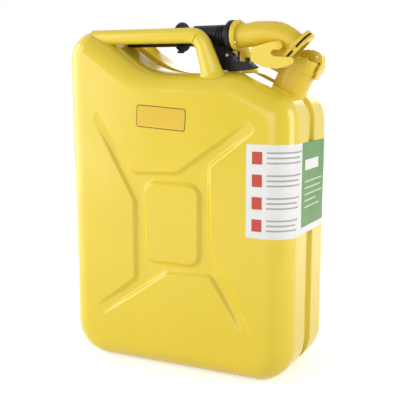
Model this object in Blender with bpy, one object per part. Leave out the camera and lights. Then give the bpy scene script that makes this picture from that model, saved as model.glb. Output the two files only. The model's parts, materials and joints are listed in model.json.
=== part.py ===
"""Pressed-steel 20 litre fuel can with three carrying bars and a stowed pouring spout.

The can stands on its base with +Z up. +X points to the filling neck and -Y to the front face.
"""
from math import atan2, cos, pi, radians, sin, sqrt, tan

import bmesh
import bpy
from mathutils import Matrix, Vector

MM = 0.001
GAP = 0.3 * MM

# Pressed body
BODY_WIDTH = 340 * MM
BODY_DEPTH = 164 * MM
HUMP_HEIGHT = 469 * MM
TOP_HEIGHT = 412 * MM
SHEET = 1.0 * MM
FACE_RADIUS = 32 * MM
BASE_RADIUS = 50 * MM
HUMP_RADIUS = 40 * MM
CREST_RADIUS = 10 * MM
CREST_LENGTH = 43 * MM
SCOOP_ANGLE = radians(33)
SCOOP_RADIUS = 110 * MM
SLOPE_START = 92 * MM
SLOPE_ANGLE = radians(25)
SLOPE_RADIUS = 30 * MM
SHOULDER_RADIUS = 40 * MM
SEAM_HALF_WIDTH = 11 * MM
SEAM_DEPTH = 7 * MM
SEAM_STEP = 3 * MM
FACE_STEPS = 5
SHARPEST_CORNER = 2 * MM
FULL_WALL = 0.99

# Embossed cross on the large faces
CROSS_HEIGHT = 213 * MM
CROSS_DEPTH = 5 * MM
CROSS_SLOPE = 6 * MM
PAD_WIDTH = 80 * MM
PAD_HEIGHT = 104 * MM
PAD_RADIUS = 14 * MM

# Carrying bars
BAR_SPACING = 60 * MM
BAR_HEIGHT = 20 * MM
BAR_WIDTH = 16 * MM
HAND_ROOM = 38 * MM
BAR_BEND_X = 20 * MM
BAR_BEND_RADIUS = 22 * MM
FOOT_X = 53 * MM
FOOT_LENGTH = 34 * MM
BAR_SIDES = 14
BAR_LEAN = radians(70)
BAR_TOP = TOP_HEIGHT + HAND_ROOM + BAR_HEIGHT

# Filling neck, cap and its latch, along the neck axis
NECK_X = 138 * MM
NECK_RADIUS = 23.5 * MM
NECK_WALL = 1.5 * MM
NECK_BELOW = 12 * MM
NECK_LENGTH = 33 * MM
LIP_RADIUS = 24.8 * MM
LIP_HEIGHT = 4 * MM
GASKET_THICKNESS = 2.4 * MM
LID_RADIUS = 25.4 * MM
LID_HEIGHT = 11 * MM
LID_DISH = 4 * MM
EAR_THICKNESS = 2.2 * MM
EAR_HEIGHT = 11.5 * MM
LATCH_WIDTH = 13 * MM
LATCH_PLATE = 2.4 * MM
LATCH_PIVOT_X = 18 * MM
LATCH_PIVOT_RISE = 7 * MM
HINGE_REACH = 32 * MM
HINGE_RISE = 5 * MM
HINGE_WIDTH = 12 * MM
HINGE_PLATE = 3 * MM
PIN_RADIUS = 2 * MM
PIN_PLAY = 0.06 * MM
BREATHER_RADIUS = 4 * MM
BREATHER_LENGTH = 62 * MM

# Stowed spout, along its own axis from nozzle tip to coupling
SPOUT_Y = -32.3 * MM
SPOUT_DROP = 10.5 * MM
SPOUT_HEIGHT = BAR_TOP - SPOUT_DROP
SPOUT_YAW = radians(-6.5)
NOZZLE_TIP = -97 * MM
NOZZLE_RADIUS = 12.5 * MM
NOZZLE_WALL = 2 * MM
BARREL_START = 15 * MM
BARREL_LENGTH = 62 * MM
BARREL_RADIUS = 14.3 * MM
BARREL_SOCKET = 24 * MM
FLANGE_RADIUS = 20 * MM
BARREL_FLANGE = 8 * MM
SEAL_THICKNESS = 1.2 * MM
ELBOW_FLANGE = 7 * MM
ELBOW_RADIUS = 15.4 * MM
ELBOW_END_RADIUS = 14 * MM
ELBOW_BORE = 10.5 * MM
BEND_START = 141 * MM
BEND_RADIUS = 30 * MM
BEND_ANGLE = radians(41)
COLLAR_RADIUS = 19.6 * MM
COLLAR_LENGTH = 11 * MM
COLLAR_CONE = 5 * MM
SCREW_COUNT = 3
SCREW_CIRCLE = 17.6 * MM
SCREW_HEAD = 1.9 * MM
SCREW_HEAD_HEIGHT = 1.6 * MM
SCREW_SHANK = 1.2 * MM
SCREW_LENGTH = 9 * MM
CLIP_START = -17 * MM
CLIP_LENGTH = 21 * MM
CLIP_HALF_SPAN = 25 * MM
CLIP_TOP = 19.5 * MM
CLIP_BOTTOM = 22.5 * MM
CLIP_HALF_WIDTH = 15 * MM
RING_SEAL_THICKNESS = 2 * MM
SLOT_HEIGHT = 5 * MM
CLAMP_THICKNESS = 3.5 * MM
CLAMP_POST = 3 * MM

# Clamping lever of the coupling
LEVER_PIVOT_X = 151 * MM
LEVER_PIVOT_Z = -14 * MM
CHEEK_THICKNESS = 2 * MM
CHEEK_OFFSET = 20.1 * MM
LEVER_LEFT = 113 * MM
BRIDGE_BOTTOM = -27 * MM
RIVET_RADIUS = 2.2 * MM
RIVET_HEAD = 4 * MM
RIVET_HEAD_HEIGHT = 0.6 * MM
RIVET_ENTRY = 5 * MM
BOSS_RADIUS = 4.8 * MM

# Trigger under the barrel
TRIGGER_PIVOT_X = 68 * MM
TRIGGER_PIVOT_Z = -25 * MM
TRIGGER_WIDTH = 12 * MM
TRIGGER_TIP = 110 * MM
STRUT_WIDTH = 5 * MM
STRUT_LENGTH = 9 * MM
ROD_RADIUS = 1.5 * MM
ROD_X = 82.4 * MM
ROD_ENTRY = 6 * MM
ROD_PLAY = 0.5 * MM

YELLOW = (0.80, 0.58, 0.09)
PALE_YELLOW = (0.84, 0.66, 0.18)
BLACK = (0.025, 0.024, 0.021)
STEEL = (0.55, 0.55, 0.56)


def clear_scene():
    """Remove whatever the open file holds."""
    for thing in list(bpy.data.objects):
        bpy.data.objects.remove(thing, do_unlink=True)


def make_collection(name):
    """Return a new collection linked to the scene."""
    group = bpy.data.collections.new(name)
    bpy.context.scene.collection.children.link(group)
    return group


clear_scene()
PARTS = make_collection("fuel_can")
CUTTERS = make_collection("cutters")


def paint(name, colour, roughness, metallic):
    """Return a Principled material for one piece."""
    finish = bpy.data.materials.new(name)
    finish.use_nodes = True
    shader = finish.node_tree.nodes["Principled BSDF"]
    shader.inputs["Base Color"].default_value = (*colour, 1.0)
    shader.inputs["Roughness"].default_value = roughness
    shader.inputs["Metallic"].default_value = metallic
    return finish


def frame_empty(name, location, turn=(0, 0, 0), parent=None):
    """Return an empty that carries pieces or marks a joint."""
    empty = bpy.data.objects.new(name, None)
    empty.location = location
    empty.rotation_euler = turn
    empty.parent = parent
    empty.hide_render = True
    PARTS.objects.link(empty)
    return empty


def finish_piece(name, mesh, parent, colour, roughness=0.4, metallic=0.0):
    """Name a mesh as one piece of the can, with its own material."""
    piece = bpy.data.objects.new(name, mesh)
    mesh.name = name
    mesh.shade_smooth()
    mesh.set_sharp_from_angle(angle=radians(35))
    mesh.materials.clear()
    mesh.materials.append(paint(name, colour, roughness, metallic))
    piece.parent = parent
    PARTS.objects.link(piece)
    return piece


def to_mesh(form, name):
    """Return a bmesh as a mesh with its normals outwards."""
    bmesh.ops.recalc_face_normals(form, faces=form.faces)
    mesh = bpy.data.meshes.new(name)
    form.to_mesh(mesh)
    form.free()
    return mesh


def loft(rings, name):
    """Return a closed mesh through rings of equally many points."""
    form = bmesh.new()
    loops = [[form.verts.new(point) for point in ring] for ring in rings]
    for lower, upper in zip(loops, loops[1:]):
        for index in range(len(lower)):
            after = (index + 1) % len(lower)
            form.faces.new((lower[index], lower[after], upper[after], upper[index]))
    form.faces.new(loops[0])
    form.faces.new(loops[-1])
    return to_mesh(form, name)


def combine(base, other, operation):
    """Return the mesh of two meshes joined or cut, both in the same frame."""
    pair = []
    for mesh in (base, other):
        thing = bpy.data.objects.new("combine", mesh)
        thing.hide_render = True
        thing.display_type = "WIRE"
        CUTTERS.objects.link(thing)
        pair.append(thing)
    cut = pair[0].modifiers.new("combine", "BOOLEAN")
    cut.operation = operation
    cut.solver = "EXACT"
    cut.object = pair[1]
    bpy.context.view_layer.update()
    graph = bpy.context.evaluated_depsgraph_get()
    result = bpy.data.meshes.new_from_object(pair[0].evaluated_get(graph))
    for thing in pair:
        bpy.data.objects.remove(thing, do_unlink=True)
    return result


def moved(mesh, matrix):
    """Return the mesh after a transform."""
    mesh.transform(matrix)
    return mesh


def box(low, high):
    """Return a box mesh between two corners."""
    form = bmesh.new()
    bmesh.ops.create_cube(form, size=1.0)
    low = Vector(low)
    high = Vector(high)
    bmesh.ops.scale(form, verts=form.verts, vec=high - low)
    bmesh.ops.translate(form, verts=form.verts, vec=(low + high) / 2)
    return to_mesh(form, "box")


def rod(radius, start, end, sides=20):
    """Return a cylinder mesh between two points."""
    start = Vector(start)
    run = Vector(end) - start
    form = bmesh.new()
    bmesh.ops.create_cone(form, cap_ends=True, segments=sides, radius1=radius, radius2=radius, depth=run.length)
    turn = run.to_track_quat("Z", "Y").to_matrix().to_4x4()
    bmesh.ops.transform(form, verts=form.verts, matrix=Matrix.Translation(start + run / 2) @ turn)
    return to_mesh(form, "rod")


def turned(profile, steps=32):
    """Return a closed profile of (radius, height) points turned about Z."""
    form = bmesh.new()
    points = [form.verts.new((radius, 0, height)) for radius, height in profile]
    edges = [form.edges.new(pair) for pair in zip(points, points[1:] + points[:1])]
    bmesh.ops.spin(form, geom=points + edges, cent=(0, 0, 0), axis=(0, 0, 1), angle=2 * pi,
                   steps=steps, use_merge=True, use_duplicate=False)
    bmesh.ops.remove_doubles(form, verts=form.verts, dist=0.00002)
    loose = [edge for edge in form.edges if not edge.link_faces]
    bmesh.ops.delete(form, geom=loose, context="EDGES")
    return to_mesh(form, "turned")


def offset_corners(corners, inset):
    """Return a counter-clockwise polygon's corners with every edge moved in."""
    count = len(corners)
    result = []
    for index in range(count):
        before = Vector(corners[index - 1][:2])
        here = Vector(corners[index][:2])
        after = Vector(corners[(index + 1) % count][:2])
        into = (here - before).normalized()
        away = (after - here).normalized()
        normal_in = Vector((-into.y, into.x))
        normal_out = Vector((-away.y, away.x))
        mitre = (normal_in + normal_out) / (1 + normal_in.dot(normal_out))
        result.append(here + mitre * inset)
    return result


def corner_sweep(places, index):
    """Return the headings into and out of a corner and the signed turn between them."""
    here = places[index]
    into = (here - places[index - 1]).normalized()
    away = (places[(index + 1) % len(places)] - here).normalized()
    return into, away, atan2(into.x * away.y - into.y * away.x, into.dot(away))


def rounded_outline(corners, inset=0.0, step=radians(15)):
    """Return points round a counter-clockwise polygon of (x, z, radius) corners.

    A fillet that doesn't fit its two walls shrinks until it does.
    """
    places = offset_corners(corners, inset)
    count = len(places)
    reaches = []
    for index in range(count):
        _, _, sweep = corner_sweep(places, index)
        drawn = corners[index][2]
        radius = max(drawn - inset * (1 if sweep > 0 else -1), min(drawn, SHARPEST_CORNER))
        reaches.append(radius * tan(abs(sweep) / 2))
    points = []
    for index in range(count):
        here = places[index]
        into, away, sweep = corner_sweep(places, index)
        room = 1.0
        for other in ((index - 1) % count, (index + 1) % count):
            wall = (places[other] - here).length
            room = min(room, FULL_WALL * wall / (reaches[index] + reaches[other]))
        reach = reaches[index] * room
        radius = reach / tan(abs(sweep) / 2)
        inward = Vector((-into.y, into.x)) * (1 if sweep > 0 else -1)
        centre = here - into * reach + inward * radius
        pieces = max(2, round(abs(sweep) / step))
        for piece in range(pieces + 1):
            spoke = Matrix.Rotation(sweep * piece / pieces, 2) @ (-inward * radius)
            points.append(centre + spoke)
    return points


def plate(corners, thickness, step=radians(30)):
    """Return a plate whose outline lies in XZ, centred on y = 0."""
    form = bmesh.new()
    outline = rounded_outline(corners, 0.0, step)
    face = form.faces.new([form.verts.new((point.x, -thickness / 2, point.y)) for point in outline])
    grown = bmesh.ops.extrude_face_region(form, geom=[face])
    verts = [item for item in grown["geom"] if isinstance(item, bmesh.types.BMVert)]
    bmesh.ops.translate(form, verts=verts, vec=(0, thickness, 0))
    return to_mesh(form, "plate")


def body_corners():
    """Return the can's side outline as (x, z, radius) corners, counter-clockwise."""
    half = BODY_WIDTH / 2
    crest = CREST_LENGTH - half
    foot = crest + (HUMP_HEIGHT - TOP_HEIGHT) / tan(SCOOP_ANGLE)
    shoulder = TOP_HEIGHT - (half - SLOPE_START) * tan(SLOPE_ANGLE)
    return [
        (-half, 0, BASE_RADIUS),
        (half, 0, BASE_RADIUS),
        (half, shoulder, SHOULDER_RADIUS),
        (SLOPE_START, TOP_HEIGHT, SLOPE_RADIUS),
        (foot, TOP_HEIGHT, SCOOP_RADIUS),
        (crest, HUMP_HEIGHT, CREST_RADIUS),
        (-half, HUMP_HEIGHT, HUMP_RADIUS),
    ]


def slope_height(x):
    """Return the height of the shoulder slope at x."""
    return TOP_HEIGHT - (x - SLOPE_START) * tan(SLOPE_ANGLE)


def scoop_x(height):
    """Return x of the hump's inner slope at a height."""
    return CREST_LENGTH - BODY_WIDTH / 2 + (HUMP_HEIGHT - height) / tan(SCOOP_ANGLE)


def half_body(sheet, open_end):
    """Return the front half's skin as a solid, moved in by the sheet thickness."""
    face = BODY_DEPTH / 2 - sheet
    round_start = BODY_DEPTH / 2 - FACE_RADIUS
    radius = FACE_RADIUS - sheet
    stations = [
        (SEAM_DEPTH + sheet, open_end),
        (SEAM_DEPTH + sheet, SEAM_HALF_WIDTH - SEAM_STEP / 2 + sheet),
        (sheet, SEAM_HALF_WIDTH + SEAM_STEP / 2 + sheet),
    ]
    for number in range(FACE_STEPS + 1):
        angle = pi / 2 * number / FACE_STEPS
        stations.append((sheet + radius * (1 - cos(angle)), round_start + radius * sin(angle)))
    stations[-1] = (FACE_RADIUS, face)
    corners = body_corners()
    rings = []
    for inset, depth in stations:
        rings.append([(point.x, -depth, point.y) for point in rounded_outline(corners, inset)])
    return loft(rings, "half_body")


def cross_corners():
    """Return the embossed cross about its centre: half by points, half by a half turn."""
    half = [
        (-62, 70, 10), (-118, 160, 6), (-127, 137, 6), (-56, 26, 12), (-56, -78, 12), (-126, -118, 6),
        (-116, -144, 6), (-10, -71, 10),
    ]
    points = [(x * MM, z * MM, radius * MM) for x, z, radius in half]
    return points + [(-x, -z, radius) for x, z, radius in points]


def sloped_block(corners, wide_depth, narrow_depth, slope, margin):
    """Return a block with sloping sides: wide outline at one depth, inset at the other."""
    wide = rounded_outline(corners, -margin, radians(40))
    narrow = rounded_outline(corners, slope - margin, radians(40))
    rings = []
    for outline, depth in ((wide, wide_depth), (narrow, narrow_depth)):
        rings.append([(point.x, -depth, CROSS_HEIGHT + point.y) for point in outline])
    return rings


def emboss(skin, sheet):
    """Return a skin with the cross pressed in and the centre pad left proud."""
    face = BODY_DEPTH / 2 - sheet
    floor = face - CROSS_DEPTH
    corners = cross_corners()
    sides = sloped_block(corners, face, floor, CROSS_SLOPE, sheet)
    lead = [(x, -(face + CROSS_DEPTH), z) for x, _, z in sides[0]]
    skin = combine(skin, loft([lead] + sides, "cross"), "DIFFERENCE")
    wide = PAD_WIDTH / 2 + CROSS_SLOPE
    tall = PAD_HEIGHT / 2 + CROSS_SLOPE
    rim = PAD_RADIUS + CROSS_SLOPE
    pad = [(-wide, -tall, rim), (wide, -tall, rim), (wide, tall, rim), (-wide, tall, rim)]
    raised = sloped_block(pad, floor, face, CROSS_SLOPE, -sheet)
    root = [(x, -(floor - CROSS_DEPTH), z) for x, _, z in raised[0]]
    return combine(skin, loft([root] + raised, "pad"), "UNION")


def neck_matrix():
    """Return the frame whose Z is the neck axis and whose origin is on the slope."""
    place = Matrix.Translation((NECK_X, 0, slope_height(NECK_X)))
    return place @ Matrix.Rotation(SLOPE_ANGLE, 4, "Y")


def build_shells(root):
    """Model both pressed halves, each cut for the neck."""
    skin = emboss(half_body(0.0, GAP / 2), 0.0)
    cavity = emboss(half_body(SHEET, -SHEET), SHEET)
    shell = combine(skin, cavity, "DIFFERENCE")
    reach = SEAM_DEPTH + NECK_LENGTH
    hole = moved(rod(NECK_RADIUS + GAP, (0, 0, -reach), (0, 0, reach), 40), neck_matrix())
    front = combine(shell, hole, "DIFFERENCE")
    finish_piece("front_shell", front, root, YELLOW, 0.35, 0.1)
    rear = combine(mirrored(shell), hole, "DIFFERENCE")
    finish_piece("rear_shell", rear, root, YELLOW, 0.35, 0.1)


def mirrored(shell):
    """Return the front stamping mirrored to the rear."""
    copy = shell.copy()
    copy.transform(Matrix.Scale(-1, 4, (0, 1, 0)))
    copy.flip_normals()
    return copy


def bar_path():
    """Return stations of a carrying bar: x, z, heading and length across the bar."""
    centre = BAR_TOP - BAR_HEIGHT / 2
    stations = [(BAR_BEND_X, centre, 0.0, BAR_HEIGHT)]
    steps = 4
    for number in range(1, steps + 1):
        turn = BAR_LEAN * number / steps
        x = BAR_BEND_X + BAR_BEND_RADIUS * sin(turn)
        z = centre - BAR_BEND_RADIUS * (1 - cos(turn))
        stations.append((x, z, turn, BAR_HEIGHT + (FOOT_LENGTH - BAR_HEIGHT) * 0.35 * number / steps))
    return stations


def build_bar(name, offset, drop, root):
    """Model one bent bar from the hump to the flat top, in its own plane."""
    centre = BAR_TOP - BAR_HEIGHT / 2
    half_width = BAR_WIDTH / 2
    rings = []

    def section(place, across):
        ring = []
        for side in range(BAR_SIDES):
            angle = 2 * pi * side / BAR_SIDES
            ring.append(place(cos(angle) * half_width, sin(angle) * across / 2))
        rings.append(ring)

    def on_hump(sideways, up):
        edge = abs(offset + sideways) - (BODY_DEPTH / 2 - FACE_RADIUS)
        fall = FACE_RADIUS - sqrt(FACE_RADIUS ** 2 - max(edge, 0) ** 2)
        start = scoop_x(centre + up) + (GAP - drop - fall) / sin(SCOOP_ANGLE)
        return (start, offset + sideways, centre + up)

    section(on_hump, BAR_HEIGHT)
    for x, z, turn, across in bar_path():
        def on_run(sideways, up, x=x, z=z, turn=turn):
            return (x + up * sin(turn), offset + sideways, z + up * cos(turn))
        section(on_run, across)

    def on_top(sideways, up):
        edge = abs(offset + sideways) - (BODY_DEPTH / 2 - FACE_RADIUS)
        fall = FACE_RADIUS - sqrt(FACE_RADIUS ** 2 - max(edge, 0) ** 2)
        return (FOOT_X + up, offset + sideways, TOP_HEIGHT - drop - fall + GAP)

    section(on_top, FOOT_LENGTH)
    finish_piece(name, loft(rings, name), root, YELLOW, 0.35, 0.1)


def build_bars(root):
    """Model the three carrying bars; the middle one stands in the seam."""
    build_bar("handle_front", -BAR_SPACING, 0.0, root)
    build_bar("handle_centre", 0.0, SEAM_DEPTH, root)
    build_bar("handle_rear", BAR_SPACING, 0.0, root)


def build_neck(neck):
    """Model the neck, its hinge bracket and the breather inside it."""
    inner = NECK_RADIUS - NECK_WALL
    profile = [
        (inner, -NECK_BELOW), (NECK_RADIUS, -NECK_BELOW), (NECK_RADIUS, NECK_LENGTH - LIP_HEIGHT - 2 * MM),
        (LIP_RADIUS, NECK_LENGTH - LIP_HEIGHT), (LIP_RADIUS, NECK_LENGTH - 1 * MM),
        (LIP_RADIUS - 1 * MM, NECK_LENGTH), (inner, NECK_LENGTH),
    ]
    finish_piece("neck", turned(profile, 40), neck, YELLOW, 0.35, 0.1)
    pin_z = NECK_LENGTH + HINGE_RISE
    lug_end = 4.5 * MM
    base = NECK_RADIUS + GAP
    lug = [
        (-base - 12 * MM, 14 * MM, 2 * MM), (-base + 6 * MM, 14 * MM, 2 * MM),
        (-base + 6 * MM, NECK_LENGTH - 8 * MM, 2 * MM), (-LID_RADIUS - 1 * MM, NECK_LENGTH - 2 * MM, 2 * MM),
        (-HINGE_REACH + lug_end, pin_z + lug_end, lug_end - 0.1 * MM),
        (-HINGE_REACH - lug_end, pin_z + lug_end, lug_end - 0.1 * MM),
    ]
    bracket = None
    outer = HINGE_WIDTH / 2 + GAP + HINGE_PLATE
    for side in (-1, 1):
        ear = moved(plate(lug, HINGE_PLATE), Matrix.Translation((0, side * (outer - HINGE_PLATE / 2), 0)))
        bracket = ear if bracket is None else combine(bracket, ear, "UNION")
    web = box((-base - 5 * MM, -outer + 1 * MM, 15 * MM), (-base + 5 * MM, outer - 1 * MM, NECK_LENGTH - 10 * MM))
    bracket = combine(bracket, web, "UNION")
    clearance = rod(base, (0, 0, 0), (0, 0, NECK_LENGTH * 2), 40)
    bracket = combine(bracket, clearance, "DIFFERENCE")
    under_lip = NECK_LENGTH - LIP_HEIGHT - 2 * MM - GAP
    lip_room = rod(LIP_RADIUS + GAP, (0, 0, under_lip), (0, 0, NECK_LENGTH * 2), 40)
    bracket = combine(bracket, lip_room, "DIFFERENCE")
    axle = (-HINGE_REACH, -outer * 2, pin_z), (-HINGE_REACH, outer * 2, pin_z)
    bracket = combine(bracket, rod(PIN_RADIUS + PIN_PLAY, *axle), "DIFFERENCE")
    finish_piece("neck_hinge", bracket, neck, YELLOW, 0.35, 0.1)
    reach = outer + 1.2 * MM
    pin = rod(PIN_RADIUS, (-HINGE_REACH, -reach, pin_z), (-HINGE_REACH, reach, pin_z))
    finish_piece("cap_hinge_pin", pin, neck, STEEL, 0.3, 1.0)
    side = inner - BREATHER_RADIUS - GAP
    breather = turned([
        (BREATHER_RADIUS - 1 * MM, 0), (BREATHER_RADIUS, 0), (BREATHER_RADIUS, BREATHER_LENGTH),
        (BREATHER_RADIUS - 1 * MM, BREATHER_LENGTH),
    ], 14)
    top = NECK_LENGTH - 6 * MM - BREATHER_LENGTH
    breather = moved(breather, Matrix.Translation((-side, 0, top)))
    finish_piece("breather_tube", breather, neck, STEEL, 0.4, 1.0)


def build_cap(neck):
    """Model the lid with its ears, gasket, latch and pins."""
    pin_z = NECK_LENGTH + HINGE_RISE
    hinge = frame_empty("cap_hinge_axis", (-HINGE_REACH, 0, pin_z), parent=neck)
    back = Matrix.Translation((HINGE_REACH, 0, -pin_z))
    seal_low = NECK_LENGTH + GAP
    bore = NECK_RADIUS - NECK_WALL
    rim = LIP_RADIUS - 0.5 * MM
    seal = turned([
        (bore, seal_low), (rim, seal_low), (rim, seal_low + GASKET_THICKNESS), (bore, seal_low + GASKET_THICKNESS),
    ], 32)
    finish_piece("cap_gasket", moved(seal, back), hinge, BLACK, 0.8)
    low = seal_low + GASKET_THICKNESS + GAP
    top = low + LID_HEIGHT
    dish = LID_RADIUS - 4 * MM
    profile = [
        (0, low), (LID_RADIUS, low), (LID_RADIUS, top - 2 * MM), (LID_RADIUS - 2 * MM, top), (dish, top),
        (dish - 2 * MM, top - LID_DISH), (0, top - LID_DISH),
    ]
    lid = turned(profile, 40)
    floor = top - LID_DISH - 1 * MM
    crown = top + EAR_HEIGHT
    ear = [
        (-15 * MM, floor, 1 * MM), (22.5 * MM, floor, 1 * MM), (22.5 * MM, crown, 6 * MM),
        (4 * MM, crown, 8 * MM), (-13 * MM, top, 6 * MM),
    ]
    pivot_z = top + LATCH_PIVOT_RISE
    ear_place = LATCH_WIDTH / 2 + GAP + EAR_THICKNESS / 2
    for side in (-1, 1):
        wall = moved(plate(ear, EAR_THICKNESS), Matrix.Translation((0, side * ear_place, 0)))
        lid = combine(lid, wall, "UNION")
    knuckle = rod(4.2 * MM, (-HINGE_REACH, -HINGE_WIDTH / 2, pin_z), (-HINGE_REACH, HINGE_WIDTH / 2, pin_z))
    arm = box((-HINGE_REACH, -HINGE_WIDTH / 2, low), (-LID_RADIUS + 4 * MM, HINGE_WIDTH / 2, low + 5 * MM))
    lid = combine(lid, combine(knuckle, arm, "UNION"), "UNION")
    wide = HINGE_WIDTH * 2
    hole = PIN_RADIUS + PIN_PLAY
    eye_hole = rod(hole, (LATCH_PIVOT_X, -wide, pivot_z), (LATCH_PIVOT_X, wide, pivot_z))
    lid = combine(lid, rod(hole, (-HINGE_REACH, -wide, pin_z), (-HINGE_REACH, wide, pin_z)), "DIFFERENCE")
    lid = combine(lid, eye_hole, "DIFFERENCE")
    finish_piece("cap_lid", moved(lid, back), hinge, YELLOW, 0.35, 0.1)
    reach = ear_place + EAR_THICKNESS / 2 + 1 * MM
    pin = rod(PIN_RADIUS, (LATCH_PIVOT_X, -reach, pivot_z), (LATCH_PIVOT_X, reach, pivot_z))
    finish_piece("cap_lever_pin", moved(pin, back), hinge, STEEL, 0.3, 1.0)
    latch = frame_empty("cap_lever_axis", (LATCH_PIVOT_X + HINGE_REACH, 0, pivot_z - pin_z), parent=hinge)
    front = LID_RADIUS + GAP
    toe = NECK_LENGTH - LIP_HEIGHT - 3 * MM
    eye = 4.5 * MM
    arm = [
        (LATCH_PIVOT_X - eye, pivot_z - eye, eye - 0.1 * MM), (front, top + 1.5 * MM, 1 * MM),
        (front, toe, 0.5 * MM), (front + LATCH_PLATE, toe, 0.5 * MM),
        (front + LATCH_PLATE, top + 2 * MM, 2 * MM), (LATCH_PIVOT_X + eye, pivot_z + eye, eye - 0.1 * MM),
        (LATCH_PIVOT_X - eye, pivot_z + eye, eye - 0.1 * MM),
    ]
    lever = plate(arm, LATCH_WIDTH)
    tab = box((front + 0.4 * MM, -LATCH_WIDTH * 0.75, toe + 8 * MM),
              (front + LATCH_PLATE + 1 * MM, LATCH_WIDTH * 0.75, top - 1 * MM))
    lever = combine(lever, tab, "UNION")
    lever = combine(lever, eye_hole, "DIFFERENCE")
    lever = moved(lever, Matrix.Translation((-LATCH_PIVOT_X, 0, -pivot_z)))
    finish_piece("cap_lever", lever, latch, YELLOW, 0.35, 0.1)


ALONG_X = Matrix.Rotation(radians(90), 4, "Y")


def barrel_end():
    """Return where the barrel's flange face lies on the spout axis."""
    return BARREL_START + BARREL_LENGTH


def elbow_start():
    """Return where the elbow's flange face lies on the spout axis."""
    return barrel_end() + SEAL_THICKNESS + 2 * GAP


def screw_angles():
    """Return the places of the flange screws round the spout axis, one low and two high."""
    return [radians(90) + 2 * pi * number / SCREW_COUNT for number in range(SCREW_COUNT)]


def trigger_axle(radius, reach):
    """Return a bar on the trigger's axis, reaching as far to both sides."""
    return rod(radius, (TRIGGER_PIVOT_X, -reach, TRIGGER_PIVOT_Z), (TRIGGER_PIVOT_X, reach, TRIGGER_PIVOT_Z))


def build_nozzle(spout):
    """Model the nozzle tube, the ribbed barrel and the clip that hangs them on the bars."""
    bore = NOZZLE_RADIUS - NOZZLE_WALL
    tail = BARREL_START + BARREL_SOCKET
    tube = turned([
        (bore, NOZZLE_TIP), (NOZZLE_RADIUS - 2 * MM, NOZZLE_TIP), (NOZZLE_RADIUS, NOZZLE_TIP + 7 * MM),
        (NOZZLE_RADIUS, tail), (bore, tail),
    ], 24)
    finish_piece("nozzle_tube", moved(tube, ALONG_X), spout, BLACK, 0.5)
    end = barrel_end()
    flange = end - BARREL_FLANGE
    socket = NOZZLE_RADIUS + GAP
    profile = [(socket, BARREL_START), (BARREL_RADIUS - 1 * MM, BARREL_START),
               (BARREL_RADIUS, BARREL_START + 1.5 * MM)]
    rib_zone = flange - 14 * MM
    for rib in range(3):
        start = rib_zone + rib * 4 * MM
        profile += [(BARREL_RADIUS, start), (BARREL_RADIUS - 1.2 * MM, start + 0.6 * MM),
                    (BARREL_RADIUS - 1.2 * MM, start + 1.8 * MM), (BARREL_RADIUS, start + 2.4 * MM)]
    profile += [(BARREL_RADIUS, flange - 2 * MM), (FLANGE_RADIUS, flange + 2 * MM), (FLANGE_RADIUS, end),
                (bore, end), (bore, tail + GAP), (socket, tail + GAP)]
    barrel = moved(turned(profile, 28), ALONG_X)
    low = TRIGGER_PIVOT_Z - 4 * MM
    strut = box((TRIGGER_PIVOT_X - STRUT_LENGTH / 2, -STRUT_WIDTH / 2, low),
                (TRIGGER_PIVOT_X + STRUT_LENGTH / 2, STRUT_WIDTH / 2, -NOZZLE_RADIUS - GAP))
    barrel = combine(barrel, strut, "UNION")
    barrel = combine(barrel, trigger_axle(PIN_RADIUS + PIN_PLAY, TRIGGER_WIDTH), "DIFFERENCE")
    barrel = drill_screws(barrel, end, SCREW_SHANK + 0.05 * MM)
    finish_piece("nozzle_barrel", barrel, spout, BLACK, 0.5)
    middle = CLIP_START + CLIP_LENGTH / 2
    shelf = BAR_TOP - SPOUT_HEIGHT + GAP
    half = CLIP_LENGTH / 2
    span = CLIP_HALF_SPAN
    width = CLIP_HALF_WIDTH
    clip = plate([
        (-width, -CLIP_BOTTOM, 7 * MM), (width, -CLIP_BOTTOM, 7 * MM), (width, shelf, 1 * MM),
        (span, shelf, 0.5 * MM), (span, CLIP_TOP, 5 * MM), (-span, CLIP_TOP, 5 * MM),
        (-span, shelf, 0.5 * MM), (-width, shelf, 1 * MM),
    ], CLIP_LENGTH)
    clip = moved(clip, Matrix.Translation((middle, 0, 0)) @ Matrix.Rotation(radians(90), 4, "Z"))
    bed = rod(NOZZLE_RADIUS + GAP, (middle - CLIP_LENGTH, 0, 0), (middle + CLIP_LENGTH, 0, 0), 24)
    clip = combine(clip, bed, "DIFFERENCE")
    toe = box((middle - half - 2 * MM, -width / 2, -CLIP_BOTTOM + 0.4 * MM),
              (middle - half + 2 * MM, width / 2, -CLIP_BOTTOM + 2.8 * MM))
    finish_piece("stow_clip", combine(clip, toe, "UNION"), spout, BLACK, 0.5)


def drill_screws(mesh, face, radius):
    """Return a mesh with the flange screws' holes through it."""
    for angle in screw_angles():
        y = SCREW_CIRCLE * cos(angle)
        z = SCREW_CIRCLE * sin(angle)
        hole = rod(radius, (face - SCREW_LENGTH, y, z), (face + SCREW_LENGTH, y, z), 12)
        mesh = combine(mesh, hole, "DIFFERENCE")
    return mesh


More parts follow.
